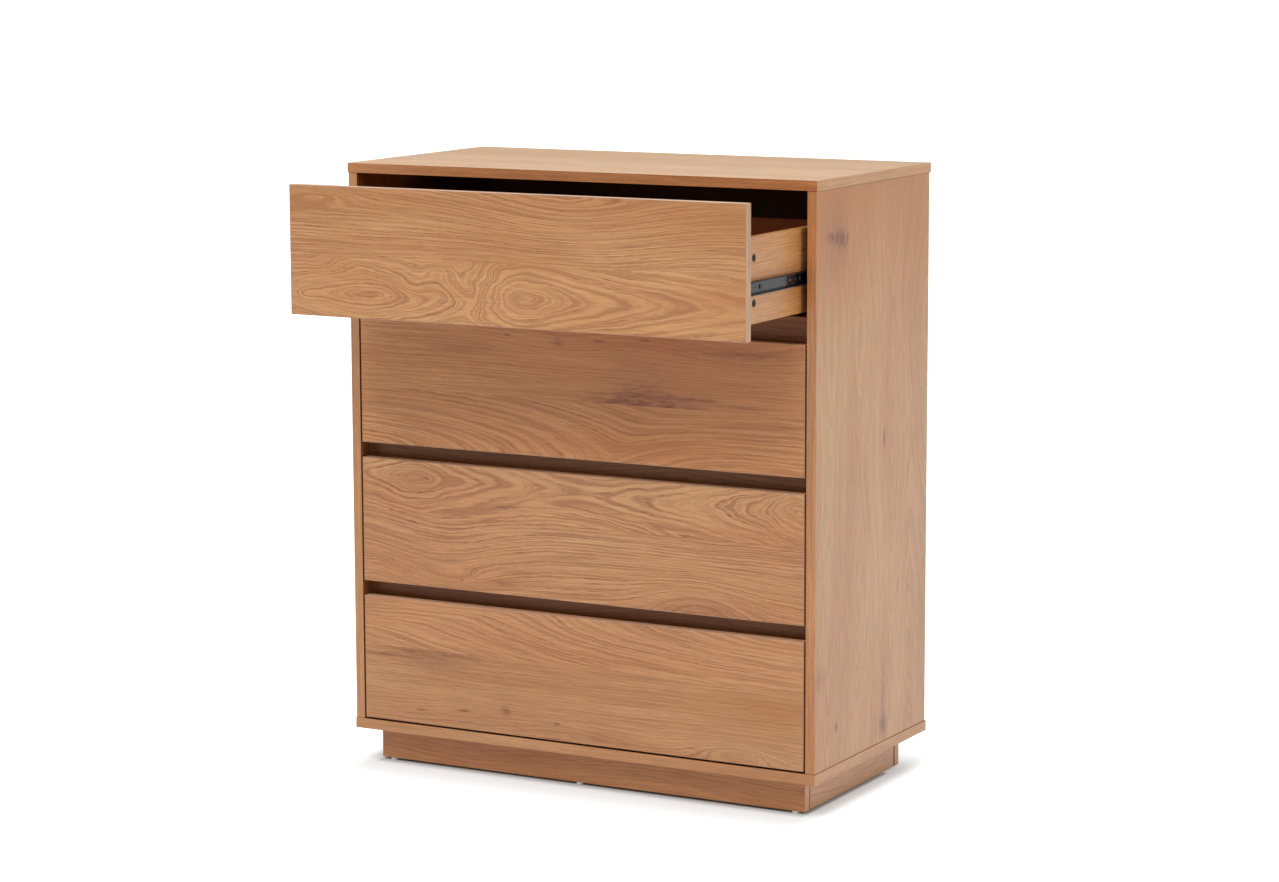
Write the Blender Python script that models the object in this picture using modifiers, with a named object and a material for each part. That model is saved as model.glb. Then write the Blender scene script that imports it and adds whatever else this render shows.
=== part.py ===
"""Tall chest of four drawers in oak-faced board, in metres, +Z up, front towards -Y.

The carcass is a top, a bottom, two sides, a nailed back and three cross rails, on a plinth
that is set back all round. Each drawer is a box of thin boards behind a plain front and runs
on two ball-bearing slides: a track on the cabinet side, a ball cage and a drawer member.
The top drawer stands open, and the other three are shut.
"""

import math

import bmesh
import bpy
from mathutils import Matrix, Vector

# Overall sizes
WIDTH = 0.800
DEPTH = 0.400
HEIGHT = 0.942
DRAWER_COUNT = 4
OPEN_AT_REST = 0.188

# Carcass boards
BOARD = 0.015
BOTTOM_BOARD = 0.016
BACK_BOARD = 0.003
OVERHANG = 0.001
BACK_INSET = 0.002
EDGE_ROUND = 0.0005
FIT_GAP = 0.0003

# Plinth and its glides
PLINTH_HEIGHT = 0.050
PLINTH_SIDE_INSET = 0.030
PLINTH_FRONT_INSET = 0.030
PLINTH_REAR_INSET = 0.036
PLINTH_JOINT = 0.0008
GLIDE_HEIGHT = 0.004
GLIDE_RADIUS = 0.006
GLIDE_TIP_RADIUS = 0.005
GLIDE_END_DISTANCE = 0.018
GLIDE_OFF_CENTRE = 0.016
GLIDE_ROOT = 0.001

# Drawer fronts and the cross rails behind the finger gaps
TOP_GAP = 0.004
BOTTOM_GAP = 0.003
FINGER_GAP = 0.024
SIDE_GAP = 0.003
RAIL_HEIGHT = 0.060
RAIL_SETBACK = 0.027
RAIL_CLEARANCE = 0.010

# Drawer boxes
SIDE_BOARD = 0.012
BOX_DROP = 0.050
BOX_LIFT = 0.022
REAR_SPACE = 0.066
BASE_BOARD = 0.003
BASE_RISE = 0.012
GROOVE_DEPTH = 0.006
GROOVE_PLAY = 0.0003
CUT_PAST = 0.001
CAM_RADIUS = 0.006
CAM_FLOOR = 0.0025
CAM_SPACING = 0.064
CAM_SETBACK = 0.024

# Ball-bearing slides
SLIDE_SPACE = 0.0106
SLIDE_RISE = 0.0515
SLIDE_FRONT_GAP = 0.002
SLIDE_REAR_GAP = 0.013
SLIDE_TRAVEL = 0.225
STEEL = 0.001
MEMBER_HEIGHT = 0.0196
BALL_RADIUS = 0.0016
BALL_PLAY = 0.0003
BALL_GAP_TO_MEMBER = 0.0008
TRACK_SHOULDER = 0.0013
TRACK_CORNER = 0.0016
TRACK_BEND = 0.0006
TRACK_STOP = 0.002
TRACK_STOP_REACH = 0.002
TRACK_STOP_HEIGHT = 0.008
CAGE_STEEL = 0.0005
CAGE_WALL_GAP = 0.0002
CAGE_CORNER = 0.0006
CAGE_REACH = 0.0013
CAGE_END_PLAY = 0.001
BALLS_IN_ROW = 4
SCREW_RADIUS = 0.0021
FIRST_SCREW = 0.039
REAR_SCREW = 0.036
PILOT_RADIUS = 0.0013
PILOT_SETBACK = 0.024

# Heights, from the floor up
PLINTH_TOP = GLIDE_HEIGHT + PLINTH_HEIGHT
FLOOR_TOP = PLINTH_TOP + BOTTOM_BOARD
TOP_UNDERSIDE = HEIGHT - BOARD
OPENING_HEIGHT = TOP_UNDERSIDE - FLOOR_TOP
GAPS_HEIGHT = TOP_GAP + BOTTOM_GAP + (DRAWER_COUNT - 1) * FINGER_GAP
FRONT_HEIGHT = (OPENING_HEIGHT - GAPS_HEIGHT) / DRAWER_COUNT
BOX_HEIGHT = FRONT_HEIGHT - BOX_DROP - BOX_LIFT

# Widths and depths, from the chest's centre line and from its front plane
SIDE_OUTER = WIDTH / 2 - OVERHANG
SIDE_INNER = SIDE_OUTER - BOARD
FRONT_FACE = OVERHANG
FRONT_BACK = FRONT_FACE + BOARD
SIDE_REAR = DEPTH - BACK_BOARD - FIT_GAP
BOX_OUTER = SIDE_INNER - SLIDE_SPACE
BOX_INNER = BOX_OUTER - SIDE_BOARD
BOX_LENGTH = SIDE_REAR - REAR_SPACE - FRONT_BACK
SLIDE_LENGTH = BOX_LENGTH - SLIDE_FRONT_GAP - SLIDE_REAR_GAP
PLINTH_OUTER = WIDTH / 2 - PLINTH_SIDE_INSET
PLINTH_FRONT = PLINTH_FRONT_INSET
PLINTH_REAR = DEPTH - PLINTH_REAR_INSET

# The origin lies on the floor, under the middle of the chest with its top drawer open
FRONT_PLANE = (OPEN_AT_REST - OVERHANG - DEPTH) / 2

# Places in the slide's section: across from the drawer side, and up from its centre line
MEMBER_WEB = FIT_GAP + STEEL / 2
TRACK_WEB = SLIDE_SPACE - FIT_GAP - STEEL / 2
BALL_ACROSS = SLIDE_SPACE / 2
BALL_UP = MEMBER_HEIGHT / 2 + BALL_GAP_TO_MEMBER
RACEWAY_RADIUS = BALL_RADIUS + BALL_PLAY + STEEL / 2
CAGE_WEB = TRACK_WEB - STEEL / 2 - CAGE_WALL_GAP - CAGE_STEEL / 2
CAGE_TIP = BALL_ACROSS - CAGE_REACH
CAGE_FRONT = TRACK_STOP + CAGE_END_PLAY + SLIDE_TRAVEL / 2
CAGE_LENGTH = SLIDE_LENGTH - CAGE_FRONT - TRACK_STOP - CAGE_END_PLAY

# Colours as linear red, green and blue
OAK = (0.46, 0.27, 0.14)
OAK_SIDE = (0.52, 0.34, 0.20)
BROWN_BOARD = (0.10, 0.045, 0.02)
BLACK_STEEL = (0.03, 0.03, 0.032)
GREY_STEEL = (0.30, 0.31, 0.32)

# Straight runs in an arc of a rolled section
BEND_STEPS = 3
RACEWAY_STEPS = 4


def clear_scene():
    """Empty the scene, so that only the chest is in it."""
    for item in list(bpy.data.objects):
        bpy.data.objects.remove(item, do_unlink=True)


def new_collection(name):
    """A collection under the scene's own."""
    group = bpy.data.collections.new(name)
    bpy.context.scene.collection.children.link(group)
    return group


clear_scene()
PARTS = new_collection("tall_chest")
CUTTERS = new_collection("cutters")


def new_empty(name, location, parent=None):
    """An empty that carries what moves or stands together."""
    holder = bpy.data.objects.new(name, None)
    holder.empty_display_size = 0.03
    holder.location = location
    holder.parent = parent
    PARTS.objects.link(holder)
    return holder


def finish(name, colour, roughness, metallic=0.0):
    """A Principled material for one object."""
    material = bpy.data.materials.new(name)
    material.use_nodes = True
    shader = material.node_tree.nodes["Principled BSDF"]
    shader.inputs["Base Color"].default_value = (*colour, 1.0)
    shader.inputs["Roughness"].default_value = roughness
    shader.inputs["Metallic"].default_value = metallic
    material.diffuse_color = (*colour, 1.0)
    return material


def oak(name):
    """Printed oak laminate on the fronts, rails and plinth."""
    return finish(name, OAK, 0.50)


def pale_oak(name):
    """The same laminate where it faces the light, on sides and drawer boxes."""
    return finish(name, OAK_SIDE, 0.50)


def hardboard(name):
    """Thin board, brown on its face."""
    return finish(name, BROWN_BOARD, 0.70)


def black_steel(name):
    """Rolled steel with a black coat."""
    return finish(name, BLACK_STEEL, 0.30, 0.6)


def grey_steel(name):
    """Bare zinc-plated steel of the ball cages."""
    return finish(name, GREY_STEEL, 0.35, 0.9)


def place(mesh, name, location, parent, material=None, group=PARTS):
    """An object of its own for a mesh, set on its parent."""
    item = bpy.data.objects.new(name, mesh)
    item.location = location
    item.parent = parent
    if material:
        mesh.materials.append(material)
    group.objects.link(item)
    return item


def mesh_from(shape, name):
    """A mesh data block from a bmesh, which is then freed."""
    mesh = bpy.data.meshes.new(name)
    shape.to_mesh(mesh)
    shape.free()
    return mesh


def box_mesh(name, size):
    """A box round its own centre."""
    shape = bmesh.new()
    bmesh.ops.create_cube(shape, size=1.0)
    bmesh.ops.scale(shape, vec=Vector(size), verts=shape.verts)
    return mesh_from(shape, name)


def span_centre(low, high):
    """The middle of a box that is given by two corners."""
    return [(a + b) / 2 for a, b in zip(low, high)]


def span_size(low, high):
    """The size of a box that is given by two corners."""
    return [b - a for a, b in zip(low, high)]


def board(name, low, high, parent, material, segments=2):
    """A board between two corners, with its long edges just eased."""
    mesh = box_mesh(name, span_size(low, high))
    item = place(mesh, name, span_centre(low, high), parent, material)
    ease = item.modifiers.new("eased_edges", "BEVEL")
    ease.width = min(EDGE_ROUND, min(span_size(low, high)) / 4)
    ease.segments = segments
    ease.limit_method = "ANGLE"
    return item


def hide_cutter(item):
    """Show a cutting shape as wire only."""
    item.hide_render = True
    item.display_type = "WIRE"
    return item


def box_cutter(name, low, high, parent):
    """A box that is cut out of something."""
    mesh = box_mesh(name, span_size(low, high))
    return hide_cutter(place(mesh, name, span_centre(low, high), parent, group=CUTTERS))


def round_shape(radius, length, sides, tip_radius=None):
    """A closed cylinder or cone along Z, round its own centre."""
    shape = bmesh.new()
    tip = radius if tip_radius is None else tip_radius
    bmesh.ops.create_cone(shape, cap_ends=True, segments=sides, radius1=tip, radius2=radius, depth=length)
    return shape


def bore_cutter(name, radius, length, location, parent, sides):
    """A cylinder along X that is cut out of something."""
    shape = round_shape(radius, length, sides)
    turn = Matrix.Rotation(math.pi / 2, 4, "Y")
    bmesh.ops.transform(shape, matrix=turn, verts=shape.verts)
    return hide_cutter(place(mesh_from(shape, name), name, location, parent, group=CUTTERS))


def combine(item, other, operation):
    """Cut one shape out of another, or join them into one body."""
    step = item.modifiers.new(other.name, "BOOLEAN")
    step.operation = operation
    step.solver = "EXACT"
    step.object = other


def mirrored(side, low, high):
    """The corners of a box that is drawn for the right-hand side, on either side."""
    if side > 0:
        return low, high
    return (-high[0], low[1], low[2]), (-low[0], high[1], high[2])


def side_name(side):
    """The word for a side, as seen from the front."""
    return "right" if side > 0 else "left"


# Carcass


def make_top_and_bottom(chest):
    """The two full-size boards, which stand out a little past the sides."""
    half = WIDTH / 2
    board("top_panel", (-half, 0, TOP_UNDERSIDE), (half, DEPTH, HEIGHT), chest, pale_oak("top_panel"))
    board("bottom_panel", (-half, 0, PLINTH_TOP), (half, DEPTH, FLOOR_TOP), chest, oak("bottom_panel"))


def make_side(chest, side):
    """A cabinet side between the top and the bottom."""
    name = "side_" + side_name(side)
    low = (SIDE_INNER, OVERHANG, FLOOR_TOP + FIT_GAP)
    high = (SIDE_OUTER, SIDE_REAR, TOP_UNDERSIDE - FIT_GAP)
    board(name, *mirrored(side, low, high), chest, pale_oak(name))


def make_back(chest):
    """The thin back, nailed on the sides' rear edges between top and bottom."""
    half = SIDE_OUTER - BACK_INSET
    low = (-half, SIDE_REAR + FIT_GAP, FLOOR_TOP + FIT_GAP)
    high = (half, DEPTH, TOP_UNDERSIDE - FIT_GAP)
    board("back_panel", low, high, chest, hardboard("back_panel"), segments=1)


def front_bottom(number):
    """The height of a drawer front's lower edge; drawer 1 is the top one."""
    return TOP_UNDERSIDE - TOP_GAP - number * FRONT_HEIGHT - (number - 1) * FINGER_GAP


def make_rail(chest, number):
    """The cross rail behind the finger gap under one drawer."""
    name = f"rail_{number}"
    half = SIDE_INNER - FIT_GAP
    top = front_bottom(number) + BOX_LIFT - RAIL_CLEARANCE
    front = FRONT_FACE + RAIL_SETBACK
    low = (-half, front, top - RAIL_HEIGHT)
    board(name, low, (half, front + BOARD, top), chest, oak(name), segments=1)


# Plinth


def glide_cutter(name, across, along, parent):
    """A nail-on glide, whose root goes into the plinth above it."""
    length = GLIDE_HEIGHT + GLIDE_ROOT
    shape = round_shape(GLIDE_RADIUS, length, 16, GLIDE_TIP_RADIUS)
    item = place(mesh_from(shape, name), name, (across, along, length / 2), parent, group=CUTTERS)
    return hide_cutter(item)


def make_plinth_rail(chest, name, front):
    """A full-width plinth rail that stands on three glides."""
    low = (-PLINTH_OUTER, front, GLIDE_HEIGHT)
    high = (PLINTH_OUTER, front + BOARD, PLINTH_TOP - FIT_GAP)
    rail = board(name, low, high, chest, oak(name), segments=1)
    reach = PLINTH_OUTER - GLIDE_END_DISTANCE
    for place_name, across in (("left", -reach), ("middle", -GLIDE_OFF_CENTRE), ("right", reach)):
        glide = glide_cutter(f"{name}_glide_{place_name}", across, front + BOARD / 2, chest)
        combine(rail, glide, "UNION")


def make_plinth_side(chest, side):
    """A short plinth rail between the front one and the rear one."""
    name = "plinth_" + side_name(side)
    low = (PLINTH_OUTER - BOARD, PLINTH_FRONT + BOARD + PLINTH_JOINT, GLIDE_HEIGHT)
    high = (PLINTH_OUTER, PLINTH_REAR - BOARD - PLINTH_JOINT, PLINTH_TOP - FIT_GAP)
    board(name, *mirrored(side, low, high), chest, oak(name), segments=1)


# Drawer boxes, in each drawer's own frame: the middle of the front's lower edge


def make_front(drawer, number):
    """The drawer front, with a groove for the base in its rear face."""
    name = f"drawer_{number}_front"
    half = SIDE_INNER - SIDE_GAP
    front = board(name, (-half, 0, 0), (half, BOARD, FRONT_HEIGHT), drawer, oak(name))
    low, high = groove_span()
    reach = BOX_INNER + GROOVE_DEPTH
    start = (-reach, BOARD - GROOVE_DEPTH, low)
    groove = box_cutter(f"{name}_groove", start, (reach, BOARD + CUT_PAST, high), drawer)
    combine(front, groove, "DIFFERENCE")


def groove_span():
    """The heights of the groove that holds a drawer's base."""
    low = BOX_LIFT + BASE_RISE
    return low, low + BASE_BOARD + 2 * GROOVE_PLAY


def make_box_side(drawer, number, side):
    """A drawer side with its base groove and two cam bores at the front end."""
    name = f"drawer_{number}_side_{side_name(side)}"
    start = BOARD + FIT_GAP
    low = (BOX_INNER, start, BOX_LIFT)
    high = (BOX_OUTER, BOARD + BOX_LENGTH, BOX_LIFT + BOX_HEIGHT)
    wall = board(name, *mirrored(side, low, high), drawer, pale_oak(name), segments=1)
    base_low, base_high = groove_span()
    low = (BOX_INNER - CUT_PAST, start - CUT_PAST, base_low)
    high = (BOX_INNER + GROOVE_DEPTH, BOARD + BOX_LENGTH + CUT_PAST, base_high)
    groove = box_cutter(f"{name}_groove", *mirrored(side, low, high), drawer)
    combine(wall, groove, "DIFFERENCE")
    middle = BOX_LIFT + BOX_HEIGHT / 2
    for level in (-1, 1):
        height = middle + level * CAM_SPACING / 2
        centre = (side * (BOX_OUTER + CAM_FLOOR), BOARD + CAM_SETBACK, height)
        word = "upper" if level > 0 else "lower"
        bore = bore_cutter(f"{name}_cam_{word}", CAM_RADIUS, 2 * SIDE_BOARD, centre, drawer, sides=20)
        combine(wall, bore, "DIFFERENCE")


def make_box_back(drawer, number):
    """The drawer's back board between its sides, with the base groove."""
    name = f"drawer_{number}_back"
    half = BOX_INNER - FIT_GAP
    rear = BOARD + BOX_LENGTH
    low = (-half, rear - SIDE_BOARD, BOX_LIFT)
    wall = board(name, low, (half, rear, BOX_LIFT + BOX_HEIGHT), drawer, pale_oak(name), segments=1)
    base_low, base_high = groove_span()
    low = (-half - CUT_PAST, rear - SIDE_BOARD - CUT_PAST, base_low)
    high = (half + CUT_PAST, rear - SIDE_BOARD + GROOVE_DEPTH, base_high)
    combine(wall, box_cutter(f"{name}_groove", low, high, drawer), "DIFFERENCE")


def make_base(drawer, number):
    """The thin base, which stands in the grooves of all four walls."""
    name = f"drawer_{number}_base"
    half = BOX_INNER + GROOVE_DEPTH - GROOVE_PLAY
    floor = groove_span()[0] + GROOVE_PLAY
    front = BOARD - GROOVE_DEPTH + GROOVE_PLAY
    rear = BOARD + BOX_LENGTH - SIDE_BOARD + GROOVE_DEPTH - GROOVE_PLAY
    board(name, (-half, front, floor), (half, rear, floor + BASE_BOARD), drawer, pale_oak(name), segments=1)


# Slides, drawn for the right-hand side in section and rolled along Y


def arc(centre, radius, start, end, steps=BEND_STEPS):
    """Points round a centre, from one angle to another in degrees."""
    points = []
    for step in range(steps + 1):
        angle = math.radians(start + (end - start) * step / steps)
        points.append((centre[0] + radius * math.cos(angle), centre[1] + radius * math.sin(angle)))
    return points


def member_line():
    """Half the drawer member: its web, a round shoulder, the raceway and the lip.

    The shoulder touches the web and the raceway, which fixes its radius.
    """
    across = BALL_ACROSS - MEMBER_WEB
    rise = BALL_UP - (MEMBER_HEIGHT - STEEL) / 2
    half_sum = RACEWAY_RADIUS - rise + across
    shoulder = half_sum - math.sqrt(half_sum**2 - across**2 - rise**2 + RACEWAY_RADIUS**2)
    centre = (MEMBER_WEB + shoulder, (MEMBER_HEIGHT - STEEL) / 2 - shoulder)
    meeting = math.degrees(math.atan2(BALL_UP - centre[1], BALL_ACROSS - centre[0]))
    far_centre = (2 * BALL_ACROSS - centre[0], centre[1])
    points = [(MEMBER_WEB, 0.0)]
    points += arc(centre, shoulder, 180, meeting)
    points += arc((BALL_ACROSS, BALL_UP), RACEWAY_RADIUS, meeting + 180, 360 - meeting, RACEWAY_STEPS)[1:]
    points += arc(far_centre, shoulder, 180 - meeting, 90)[1:]
    return points


def track_line():
    """Half the cabinet track: its web, a corner, a bend, and the raceway over the ball."""
    flange = BALL_UP + TRACK_SHOULDER
    corner = (TRACK_WEB - TRACK_CORNER, flange - TRACK_CORNER)
    reach = (RACEWAY_RADIUS + TRACK_BEND) ** 2 - (TRACK_SHOULDER + TRACK_BEND) ** 2
    bend = (BALL_ACROSS + math.sqrt(reach), flange + TRACK_BEND)
    meeting = math.degrees(math.atan2(bend[1] - BALL_UP, bend[0] - BALL_ACROSS))
    points = [(TRACK_WEB, 0.0)]
    points += arc(corner, TRACK_CORNER, 0, 90)
    points += arc(bend, TRACK_BEND, 270, 180 + meeting)
    points += arc((BALL_ACROSS, BALL_UP), RACEWAY_RADIUS, meeting, 180, RACEWAY_STEPS)[1:]
    return points


def cage_line():
    """Half the ball cage: a thin web that turns over into the strip holding the balls."""
    corner = (CAGE_WEB - CAGE_CORNER, BALL_UP - CAGE_CORNER)
    return [(CAGE_WEB, 0.0)] + arc(corner, CAGE_CORNER, 0, 90) + [(CAGE_TIP, BALL_UP)]


def rolled(name, line, length, steel, side, location, parent, material):
    """A strip of the given half section, mirrored about its centre line and given its steel."""
    shape = bmesh.new()
    corners = [shape.verts.new((side * across, 0.0, up)) for across, up in line]
    edges = [shape.edges.new(pair) for pair in zip(corners, corners[1:])]
    swept = bmesh.ops.extrude_edge_only(shape, edges=edges)
    moved = [part for part in swept["geom"] if isinstance(part, bmesh.types.BMVert)]
    bmesh.ops.translate(shape, vec=(0.0, length, 0.0), verts=moved)
    mesh = mesh_from(shape, name)
    mesh.shade_smooth()
    item = place(mesh, name, location, parent, material)
    half = item.modifiers.new("lower_half", "MIRROR")
    half.use_axis = (False, False, True)
    half.merge_threshold = 0.00001
    wall = item.modifiers.new("steel", "SOLIDIFY")
    wall.thickness = steel
    wall.offset = 0.0
    wall.use_even_offset = True
    return item


def screw_places():
    """Distances of a slide's screws behind its front end."""
    return FIRST_SCREW, SLIDE_LENGTH / 2, SLIDE_LENGTH - REAR_SCREW


def drill(item, across, location, parent, pilot):
    """The screw holes in a member's web, and the small pilot hole ahead of them."""
    holes = [(SCREW_RADIUS, distance) for distance in screw_places()]
    if pilot:
        holes.append((PILOT_RADIUS, PILOT_SETBACK))
    for index, (radius, distance) in enumerate(holes):
        centre = (location[0] + across, location[1] + distance, location[2])
        name = f"{item.name}_hole_{index}"
        combine(item, bore_cutter(name, radius, 4 * STEEL, centre, parent, sides=8), "DIFFERENCE")


def slide_place(side, base_height):
    """Where a slide's section stands: on the drawer side, at its front end."""
    return (side * BOX_OUTER, FRONT_BACK + SLIDE_FRONT_GAP, base_height + BOX_LIFT + SLIDE_RISE)


def make_track(chest, number, side, base_height):
    """The cabinet member, with a stop at each end that keeps the ball cage in."""
    name = f"slide_{number}_track_{side_name(side)}"
    location = slide_place(side, base_height)
    track = rolled(name, track_line(), SLIDE_LENGTH, STEEL, side, location, chest, black_steel(name))
    for word, start in (("front", 0.0), ("rear", SLIDE_LENGTH - TRACK_STOP)):
        inner = TRACK_WEB - STEEL / 2
        low = (inner - TRACK_STOP_REACH, start, -TRACK_STOP_HEIGHT / 2)
        high = (TRACK_WEB, start + TRACK_STOP, TRACK_STOP_HEIGHT / 2)
        low, high = mirrored(side, low, high)
        low = [a + b for a, b in zip(low, location)]
        high = [a + b for a, b in zip(high, location)]
        combine(track, box_cutter(f"{name}_stop_{word}", low, high, chest), "UNION")
    drill(track, side * TRACK_WEB, location, chest, pilot=False)


def make_member(drawer, number, side):
    """The drawer member, screwed to the drawer side."""
    name = f"slide_{number}_member_{side_name(side)}"
    location = (side * BOX_OUTER, BOARD + SLIDE_FRONT_GAP, BOX_LIFT + SLIDE_RISE)
    member = rolled(name, member_line(), SLIDE_LENGTH, STEEL, side, location, drawer, black_steel(name))
    drill(member, side * MEMBER_WEB, location, drawer, pilot=True)


def ball_rows(name, side, location, parent):
    """Both rows of balls of one cage, in one shape."""
    shape = bmesh.new()
    pitch = CAGE_LENGTH / BALLS_IN_ROW
    for index in range(BALLS_IN_ROW):
        for level in (-1, 1):
            spot = Matrix.Translation((side * BALL_ACROSS, (index + 0.5) * pitch, level * BALL_UP))
            bmesh.ops.create_uvsphere(shape, u_segments=8, v_segments=4, radius=BALL_RADIUS, matrix=spot)
    return hide_cutter(place(mesh_from(shape, name), name, location, parent, group=CUTTERS))


def make_cage(chest, number, side, base_height, extension):
    """The ball cage between track and member, which moves half as far as the drawer."""
    name = f"slide_{number}_cage_{side_name(side)}"
    holder_at = Vector(slide_place(side, base_height))
    holder_at.y += CAGE_FRONT - extension / 2
    cage = rolled(name, cage_line(), CAGE_LENGTH, CAGE_STEEL, side, holder_at, chest, grey_steel(name))
    combine(cage, ball_rows(f"{name}_balls", side, holder_at, chest), "UNION")


# Assembly


def make_drawer(chest, number):
    """One drawer with its slides, at its place in the chest."""
    base_height = front_bottom(number)
    extension = OPEN_AT_REST if number == 1 else 0.0
    drawer = new_empty(f"drawer_{number}", (0.0, FRONT_FACE - extension, base_height), chest)
    make_front(drawer, number)
    make_box_back(drawer, number)
    make_base(drawer, number)
    for side in (-1, 1):
        make_box_side(drawer, number, side)
        make_member(drawer, number, side)
        make_track(chest, number, side, base_height)
        make_cage(chest, number, side, base_height, extension)


def make_chest():
    """The whole chest, on an empty at the middle of its front plane."""
    chest = new_empty("chest", (0.0, FRONT_PLANE, 0.0))
    make_top_and_bottom(chest)
    make_back(chest)
    make_plinth_rail(chest, "plinth_front", PLINTH_FRONT)
    make_plinth_rail(chest, "plinth_rear", PLINTH_REAR - BOARD)
    for side in (-1, 1):
        make_side(chest, side)
        make_plinth_side(chest, side)
    for number in range(1, DRAWER_COUNT):
        make_rail(chest, number)
    for number in range(1, DRAWER_COUNT + 1):
        make_drawer(chest, number)


make_chest()
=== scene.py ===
# Tall chest with four drawers: the finish of every surface and the small fittings
import math

import bmesh
import bpy
from mathutils import Matrix, Quaternion, Vector


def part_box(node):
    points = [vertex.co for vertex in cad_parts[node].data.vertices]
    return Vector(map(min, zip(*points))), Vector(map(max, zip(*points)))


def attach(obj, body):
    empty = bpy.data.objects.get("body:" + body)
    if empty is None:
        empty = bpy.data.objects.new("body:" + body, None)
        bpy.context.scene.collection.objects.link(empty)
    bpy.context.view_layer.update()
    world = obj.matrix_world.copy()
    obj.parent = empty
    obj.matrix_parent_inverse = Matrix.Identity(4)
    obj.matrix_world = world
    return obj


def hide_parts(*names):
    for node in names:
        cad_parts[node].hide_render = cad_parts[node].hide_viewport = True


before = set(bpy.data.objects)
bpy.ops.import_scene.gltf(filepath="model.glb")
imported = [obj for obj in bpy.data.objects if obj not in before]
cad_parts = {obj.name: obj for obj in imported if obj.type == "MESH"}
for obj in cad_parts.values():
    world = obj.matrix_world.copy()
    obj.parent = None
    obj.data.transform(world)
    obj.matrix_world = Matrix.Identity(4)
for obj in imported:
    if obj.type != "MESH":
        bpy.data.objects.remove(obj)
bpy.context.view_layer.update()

# Side panels
# Two upright panels of chipboard, faced with a paper printed like oak, its grain upright.
# Their four edges carry a band of the same print. Cam locks inside hold them to the top and bottom.
BAND_THICKNESS = 0.0008
GLUE_LINE = 0.0003
EDGE_ROUNDING = 0.0004
ROUNDING_STEPS = 3
RING_WIDTH = 0.0056
RING_WANDER = 0.006
RING_NOSE = 0.004
EYE_MERGING = 0.012
# How far from an eye its slope is given
SLOPE_TAKEN_AT = 0.1
WAVE_ALONG = 0.040
LONG_WAVE = 0.012
SHORT_WAVE = 0.0075
FINE_WAVE = 0.0040
RAGGED_ALONG = 0.0025
RAGGED_ACROSS = 0.0022
LACQUER_ROUGHNESS = 0.40
GLUE_ROUGHNESS = 0.6
PORE_DEPTH = 0.0001
RELIEF_STRENGTH = 0.5
LINE_RISE = (0.50, 0.84)
LINE_FALL = (0.85, 1.0)
FAINTEST_LINE = 0.45
FAINTEST_BREAK = 0.30
FAINTEST_DASH = 0.45
THREAD_STRENGTH = 0.50
PORE_STRENGTH = 0.4
PORES_OFF_LINE = 0.4
PORE_RELIEF = -0.7
LINE_RELIEF = -0.3
FIBRE_CONTRAST = 0.60
DARKEST_FIBRE = 0.72
# How many clouds to a metre the noises have: along the grain, across it and into the board
RING_CLOUDS = (70.0, 0.0, 0.0)
FIBRES = (24.0, 330.0, 330.0)
KNOT_PATCHES = (40.0, 200.0, 0.0)
GLUE_CLOUDS = (60.0, 60.0, 60.0)
# The same for these, with their detail, and where their step from low to high starts and ends
BREAKS = ((8.0, 140.0, 0.0), 2.0, 0.34, 0.62)
DASHES = ((40.0, 330.0, 330.0), 2.0, 0.36, 0.62)
THREADS = ((5.0, 360.0, 0.0), 2.0, 0.42, 0.66)
PORES = ((90.0, 1500.0, 1500.0), 1.0, 0.56, 0.68)
BROAD_TONES = ((1.7, 13.0, 13.0), 2.0, 0.33, 0.67)
# The waves that bend the rings: where the noise starts, its clouds to a metre, and its size
WAVES = (
    (0.0, (2.6, 7.0, 0.0), LONG_WAVE), (3.0, (12.0, 30.0, 0.0), SHORT_WAVE),
    (7.0, (36.0, 75.0, 0.0), FINE_WAVE), (5.0, (16.0, 45.0, 0.0), WAVE_ALONG),
    (9.0, (26.0, 250.0, 0.0), RAGGED_ALONG), (2.0, (60.0, 240.0, 0.0), RAGGED_ACROSS),
)


def screen_colour(red, green, blue):
    """A colour as a screen shows it, 0 to 255, in the linear light that shaders use."""
    levels = []
    for level in (red, green, blue):
        share = level / 255
        levels.append(share / 12.92 if share <= 0.04045 else ((share + 0.055) / 1.055) ** 2.4)
    return (*levels, 1.0)


def add_node(tree, kind, inputs=None, **settings):
    """A shader node with its settings, and its inputs by name or number linked or set."""
    node = tree.nodes.new("ShaderNode" + kind)
    for name, value in settings.items():
        setattr(node, name, value)
    for name, value in (inputs or {}).items():
        if isinstance(value, bpy.types.NodeSocket):
            tree.links.new(value, node.inputs[name])
        else:
            node.inputs[name].default_value = value
    return node


def calculate(tree, operation, *values):
    """One step of arithmetic on single numbers."""
    return add_node(tree, "Math", dict(enumerate(values)), operation=operation).outputs[0]


def move(tree, operation, *values):
    """One step of arithmetic on places."""
    return add_node(tree, "VectorMath", dict(enumerate(values)), operation=operation).outputs[0]


def stretched_noise(tree, place, clouds, detail=1.0):
    """Cloudy noise, 0 to 1, with its own number of clouds to a metre along each axis."""
    scaled = move(tree, "MULTIPLY", place, clouds)
    return add_node(tree, "TexNoise", {"Vector": scaled, "Scale": 1.0, "Detail": detail}).outputs[0]


def ease(tree, value, start, end, low=0.0, high=1.0):
    """A smooth step from low to high while the value goes from start to end."""
    inputs = {"Value": value, "From Min": start, "From Max": end, "To Min": low, "To Max": high}
    return add_node(tree, "MapRange", inputs, interpolation_type="SMOOTHSTEP").outputs[0]


def stepped_noise(tree, place, noise, low=0.0):
    """Noise turned into patches: low in some places, one in others, with soft edges."""
    clouds, detail, start, end = noise
    return ease(tree, stretched_noise(tree, place, clouds, detail), start, end, low)


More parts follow.
